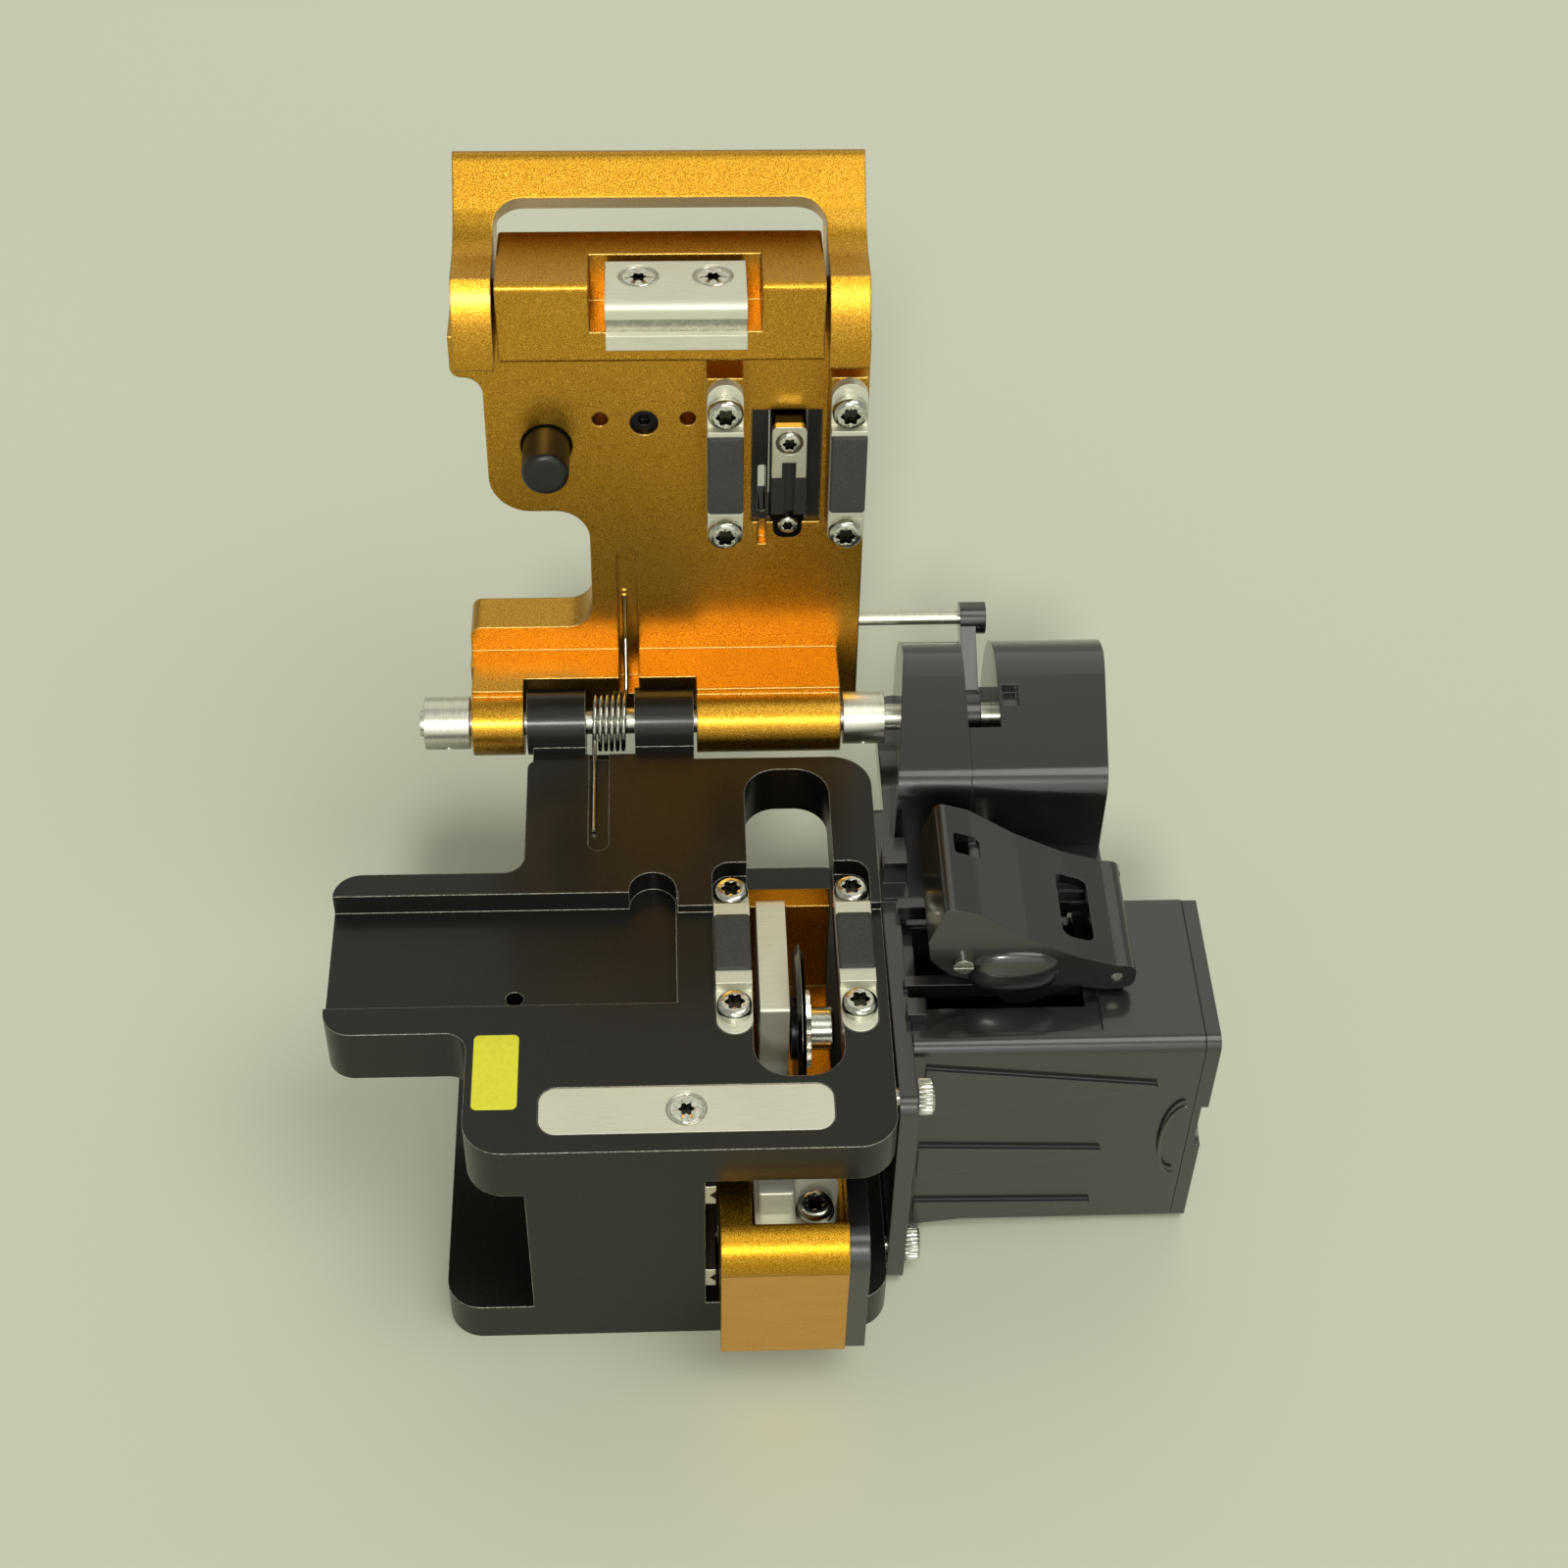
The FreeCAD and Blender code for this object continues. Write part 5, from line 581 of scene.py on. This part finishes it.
st_low, st_high = span("strike_plate_screw")
mid = (st_low + st_high) / 2
SUNK_HEAD = (st_high[0] - st_low[0]) / 2
put("strike_csk_screw",
    *sunk_head(SUNK_HEAD, SUNK_SHANK, SUNK_STAR, st_high[2] - st_low[2],
               np.array([mid[0], mid[1], st_high[2]]), LEVEL_BASIS),
    "base", "screw_steel", plated, ["strike_plate_screw"], recess_shade_marks(SUNK_RINGS))

# the magnet's screws go in along the lid, from its free end
ms_low, ms_high = lid_span("magnet_screws")
DOWN_BASIS = np.array([LID_SIDE, -LID_NORMAL, LID_ALONG])
sunk = [sunk_head(SUNK_HEAD, SUNK_SHANK, SUNK_STAR, ms_high[1] - ms_low[1],
                  from_lid(x, ms_high[1], (ms_low[2] + ms_high[2]) / 2), DOWN_BASIS)
        for x in (ms_low[0] + SUNK_HEAD, ms_high[0] - SUNK_HEAD)]
put("magnet_csk_screws", *gather(sunk), "lid", "screw_steel", plated, ["magnet_screws"],
    recess_shade_marks(SUNK_RINGS))

# the anvil's own two: one lies in the plate, the smaller one holds the foot
as_low, as_high = lid_span("anvil_screws")
as_points = (points("anvil_screws") - HINGE) @ LID_BASIS.T
mid_x = (as_low[0] + as_high[0]) / 2
foot_top = as_points[as_points[:, 1] < as_low[1] + 3][:, 2].max()
top_place = from_lid(mid_x, as_high[1] - ANVIL_TOP_SCREW[0], as_high[2] - ANVIL_TOP_SCREW[1])
foot_place = from_lid(mid_x, as_low[1] + ANVIL_FOOT_SCREW[0], foot_top - ANVIL_FOOT_SEAT)
small = [screw_head(*ANVIL_TOP_SCREW, top_place, LID_BASIS),
         screw_head(*ANVIL_FOOT_SCREW, foot_place, LID_BASIS)]
put("anvil_pan_screws", *gather(small), "anvil", "screw_steel", plated, ["anvil_screws"],
    recess_shade_marks(PAN_RINGS))

# steel step of the blade bracket, beside its screw
step_low = np.array([span("blade_bracket")[0][0] + STEP_FROM_LEFT, bs_low[1] + STEP_START, bw_low[2]])
step_high = np.array([bw_low[0] - STEP_FROM_WASHER, bs_low[1] + STEP_END, bw_low[2] + STEP_TALL])
half = (step_high - step_low) / 2
put("bracket_step",
    *soft_slab(half[0], half[1], -half[2], half[2], STEP_CORNER, STEP_EDGE, 0, (step_low + step_high) / 2,
               LEVEL_BASIS),
    "slider", "steel", satin)

# ---------------------------------------------------------------- rubber
PAD_HALF = HEAD + PAD_OVER_HEAD


def pad_pair(low, high, placed, basis):
    """Two rubber pads as rounded slabs, one at each end in x of the box that both fill."""
    half, centre = (high - low) / 2, (high + low) / 2
    return gather([soft_slab(PAD_HALF, half[1], -half[2], half[2], PAD_CORNER, PAD_EDGE, 0.0,
                             placed(x, centre[1], centre[2]), basis)
                   for x in (low[0] + PAD_HALF, high[0] - PAD_HALF)])


put("clamp_pads_below", *pad_pair(*span("lower_clamp_pads"), lambda *at: np.array(at), LEVEL_BASIS),
    "base", "rubber", rubber, ["lower_clamp_pads"])
put("clamp_pads_above", *pad_pair(*lid_span("upper_clamp_pads"), from_lid, LID_BASIS),
    "lid", "rubber", rubber, ["upper_clamp_pads"])

pl_low, pl_high = lid_span("rubber_plunger")
pl_mid = (pl_low + pl_high) / 2
rad = (pl_high[0] - pl_low[0]) / 2
inner_rad, inner_top = rad - PLUNGER_EDGE, pl_high[2] - PLUNGER_EDGE
profile = [(0.3, pl_low[2]), (rad, pl_low[2])]
profile += [(inner_rad + PLUNGER_EDGE * math.cos(a), inner_top + PLUNGER_EDGE * math.sin(a))
            for a in np.linspace(0, np.pi / 2, 7)]
profile += [(rad * 0.3, pl_high[2] - 0.05)]
put("plunger_cap", *turned(profile, [0] * len(profile), 6, from_lid(pl_mid[0], pl_mid[1], 0), LID_BASIS),
    "plunger", "rubber", soft_black, ["rubber_plunger"])

# ---------------------------------------------------------------- coil spring with its two legs
sp_low, sp_high = span("torsion_spring")
sp_points = points("torsion_spring")
leg_end = sp_low[1] + WIRE
start_x = sp_low[0] + WIRE
end_x = sp_high[0] - WIRE
leg_z = sp_points[sp_points[:, 1] < leg_end + 2][:, 2].mean()
tip = (sp_points[sp_points[:, 2] > sp_high[2] - 2.0] - HINGE) @ LID_BASIS.T
wound = np.linspace(0, 2 * np.pi * TURNS, int(SPRING_SMOOTH * TURNS))
coil = np.stack([np.linspace(start_x, end_x, len(wound)),
                 HINGE[1] - COIL * np.cos(wound), HINGE[2] + COIL * np.sin(wound)], -1)


def straight(first, last):
    """Twelve points on the straight line between two ends."""
    share = np.linspace(0, 1, 12)[:, None]
    return np.asarray(first) * (1 - share) + np.asarray(last) * share


front_leg = straight([start_x, leg_end, leg_z], [start_x, HINGE[1] - FRONT_LEG_ROOT, leg_z])
back_leg = straight(from_lid(end_x, BACK_LEG_ROOT, tip[:, 2].mean()),
                    from_lid(end_x, tip[:, 1].max(), tip[:, 2].mean()))
put("coil_spring", *tube(np.vstack([front_leg, coil]), WIRE, 10), "base", "spring_steel", wire,
    ["torsion_spring"])
# the lid winds the coil's far end round with it, so that leg goes with the lid
put("spring_lid_leg", *tube(np.vstack([coil[-3:], back_leg]), WIRE, 10), "lid", "spring_steel", wire)

# ---------------------------------------------------------------- thumbscrews and rollers
th_low, th_high = span("thumbscrews")
th_points = points("thumbscrews")
flange_right = span("collector_frame")[0][0] + COLLAR_FLANGE
ACROSS = np.array([[0, 1, 0], [0, 0, 1], [1, 0, 0]], float)
KNOB = (th_high[1] - th_low[1]) / 2
knobs = []
for z in (th_low[2] + KNOB, th_high[2] - KNOB):
    inner = th_points[np.abs(th_points[:, 2] - z) < KNOB + 1][:, 0].min() - flange_right
    long = th_high[0] - flange_right
    profile = [(1.0, inner), (1.3, inner + 0.3), (1.3, 0.0), (KNOB - 0.3, 0.0), (KNOB, 0.3),
               (KNOB, long - 0.35), (KNOB - 0.35, long), (1.0, long), (0.9, long - 0.5), (0.2, long - 0.5)]
    swell = [0, 0, 0, KNURL_DEPTH / 2, KNURL_DEPTH / 4, KNURL_DEPTH / 4, 0, 0, 0, 0]
    knobs.append(turned(profile, swell, KNURL_COUNT,
                        np.array([flange_right, (th_low[1] + th_high[1]) / 2, z]), ACROSS))
put("knurled_thumbscrews", *gather(knobs), "base", "screw_steel", plated, ["thumbscrews"])

BACKWARD = np.array([[0, 0, 1], [1, 0, 0], [0, 1, 0]], float)
ROLLERS = [("feed_roller", "grooved_feed_roller", "feed", ROLLER_GROOVES, ROLLER_GROOVE_DEPTH),
           ("pinch_roller", "pinch_tyre", "pinch", TYRE_GROOVES, 0.0)]
for node, piece, body, grooves, deep in ROLLERS:
    low, high = span(node)
    rad = (high[2] - low[2]) / 2
    long = high[1] - low[1]
    profile = [(ROLLER_BORE, 0.0), (rad - ROLLER_EDGE, 0.0), (rad - deep / 2, ROLLER_EDGE),
               (rad - deep / 2, long - ROLLER_EDGE), (rad - ROLLER_EDGE, long), (ROLLER_BORE, long)]
    swell = [0, 0, -deep / rad / 2, -deep / rad / 2, 0, 0]
    put(piece,
        *turned(profile, swell, grooves,
                np.array([(low[0] + high[0]) / 2, low[1], (low[2] + high[2]) / 2]), BACKWARD),
        body, "rubber", soft_black, [node])

# ---------------------------------------------------------------- moulded detail of the collector
cover_front = span("collector_cover")[0][1]
axle = sum(span("pinch_axle")) / 2
put("cover_cheek_swell",
    *dish((axle[0] + CHEEK_FROM_AXLE[0], axle[2] + CHEEK_FROM_AXLE[1]), CHEEK_HALF, CHEEK_PROUD, CHEEK_POWER,
          cover_front),
    "cover", "black_plastic", plastic)
FORWARD = np.array([[1, 0, 0], [0, 0, 1], [0, -1, 0]], float)
put("cover_axle_boss", *hoop(BOSS, np.array([axle[0], cover_front, axle[2]]), FORWARD),
    "cover", "black_plastic", plastic)

# the finger mark is half an ellipse, open to the door
door_left = span("bin_door")[0][0]
bin_low = span("bin_body")[0]
sweep = np.linspace(0, np.pi, 40)
mark = np.stack([door_left - MARK_FROM_DOOR - MARK_WIDE * np.sin(sweep), np.full(40, bin_low[1] + MARK_SUNK),
                 bin_low[2] + MARK_MIDDLE + MARK_HALF_TALL * np.cos(sweep)], -1)
put("bin_finger_mark", *tube(mark, MARK_LINE, 10, (0, 1, 0)), "base", "black_plastic", plastic)

# ---------------------------------------------------------------- label left plain
deck_top = st_high[2]
plate_low, plate_high = span("strike_plate")
label_place = np.array([plate_low[0] - LABEL_FROM_PLATE - LABEL_WIDE / 2,
                        plate_high[1] - LABEL_OVERLAP + LABEL_LONG / 2, deck_top])
put("plain_label",
    *soft_slab(LABEL_WIDE / 2, LABEL_LONG / 2, 0, LABEL_THICK, LABEL_CORNER, LABEL_EDGE, 0, label_place,
               LEVEL_BASIS),
    "base", "black_anodised", vinyl)

# ---------------------------------------------------------------- floor, light, camera
# a very wide floor, so that its far edge stays low in views from near its own height
FLOOR_HALF_M = 30.0
floor_mesh = bpy.data.meshes.new("floor")
corners = [(-FLOOR_HALF_M, -FLOOR_HALF_M, 0), (FLOOR_HALF_M, -FLOOR_HALF_M, 0),
           (FLOOR_HALF_M, FLOOR_HALF_M, 0), (-FLOOR_HALF_M, FLOOR_HALF_M, 0)]
floor_mesh.from_pydata(corners, [], [(0, 1, 2, 3)])
floor = bpy.data.objects.new("floor", floor_mesh)
bpy.context.scene.collection.objects.link(floor)
laminate = bpy.data.materials.new("matt laminate")
laminate.use_nodes = True
tree = laminate.node_tree
tree.nodes.clear()
surface = add(tree, "ShaderNodeBsdfPrincipled", {"Base Color": linear("#CDD0BC"), "Roughness": 0.4})
add(tree, "ShaderNodeOutputMaterial", links={"Surface": (surface, "BSDF")})
floor_mesh.materials.append(laminate)

# what is seen of the world, directly or mirrored, is paler than the light that it gives
AIR_AS_LIGHT, AIR_AS_SEEN = 0.38, 0.55
world = bpy.data.worlds.new("studio")
bpy.context.scene.world = world
world.use_nodes = True
tree = world.node_tree
tree.nodes.clear()
ray = add(tree, "ShaderNodeLightPath")
mirrored = add(tree, "ShaderNodeMath", {"operation": "MAXIMUM"},
               {0: (ray, "Is Glossy Ray"), 1: (ray, "Is Transmission Ray")})
looked_at = add(tree, "ShaderNodeMath", {"operation": "MAXIMUM"},
                {0: (ray, "Is Camera Ray"), 1: (mirrored, "Value")})
strength = add(tree, "ShaderNodeMapRange", {"To Min": AIR_AS_LIGHT, "To Max": AIR_AS_SEEN},
               {"Value": (looked_at, "Value")})
air = add(tree, "ShaderNodeBackground", {"Color": linear("#DDE0D2")}, {"Strength": (strength, "Result")})
add(tree, "ShaderNodeOutputWorld", links={"Surface": (air, "Background")})


def sun(name, azimuth, elevation, soft, power, code):
    """Far lamp: azimuth in degrees from the front (-Y) towards +X, elevation in degrees above the floor, and
    soft the width of its disc in degrees."""
    light = bpy.data.lights.new(name, "SUN")
    light.energy = power
    light.angle = math.radians(soft)
    light.color = linear(code)[:3]
    azimuth, elevation = math.radians(azimuth), math.radians(elevation)
    source = Vector((math.sin(azimuth) * math.cos(elevation), -math.cos(azimuth) * math.cos(elevation),
                     math.sin(elevation)))
    obj = bpy.data.objects.new(name, light)
    obj.rotation_euler = source.to_track_quat("Z", "Y").to_euler()
    bpy.context.scene.collection.objects.link(obj)


sun("key", -6, 40, 9, 1.35, "#FFFDF4")
sun("overhead", 62, 66, 38, 0.95, "#FCFDF6")
sun("from_behind", 176, 46, 50, 0.30, "#FDFEF2")
sun("low_front", 12, 14, 50, 0.45, "#FFFFFF")

CAMERA_PLACE = (1.86, -245.55, 336.0)
PITCH_DOWN = math.radians(47.0)
YAW = math.radians(3.5)
ROLL = math.radians(1.7)
forward = np.array([math.sin(YAW) * math.cos(PITCH_DOWN), math.cos(YAW) * math.cos(PITCH_DOWN),
                    -math.sin(PITCH_DOWN)])
sideways = np.array([math.cos(YAW), -math.sin(YAW), 0.0])
above = np.cross(sideways, forward)
right = math.cos(ROLL) * sideways + math.sin(ROLL) * above
up = -math.sin(ROLL) * sideways + math.cos(ROLL) * above
camera_data = bpy.data.cameras.new("camera")
camera_data.sensor_width = 36.0
camera_data.lens = 60.75
camera = bpy.data.objects.new("camera", camera_data)
turn = Matrix(np.column_stack([right, up, -forward]).tolist()).to_4x4()
camera.matrix_world = Matrix.Translation(Vector(CAMERA_PLACE) * MM) @ turn
bpy.context.scene.collection.objects.link(camera)
bpy.context.scene.camera = camera
bpy.context.scene.view_settings.view_transform = "Standard"
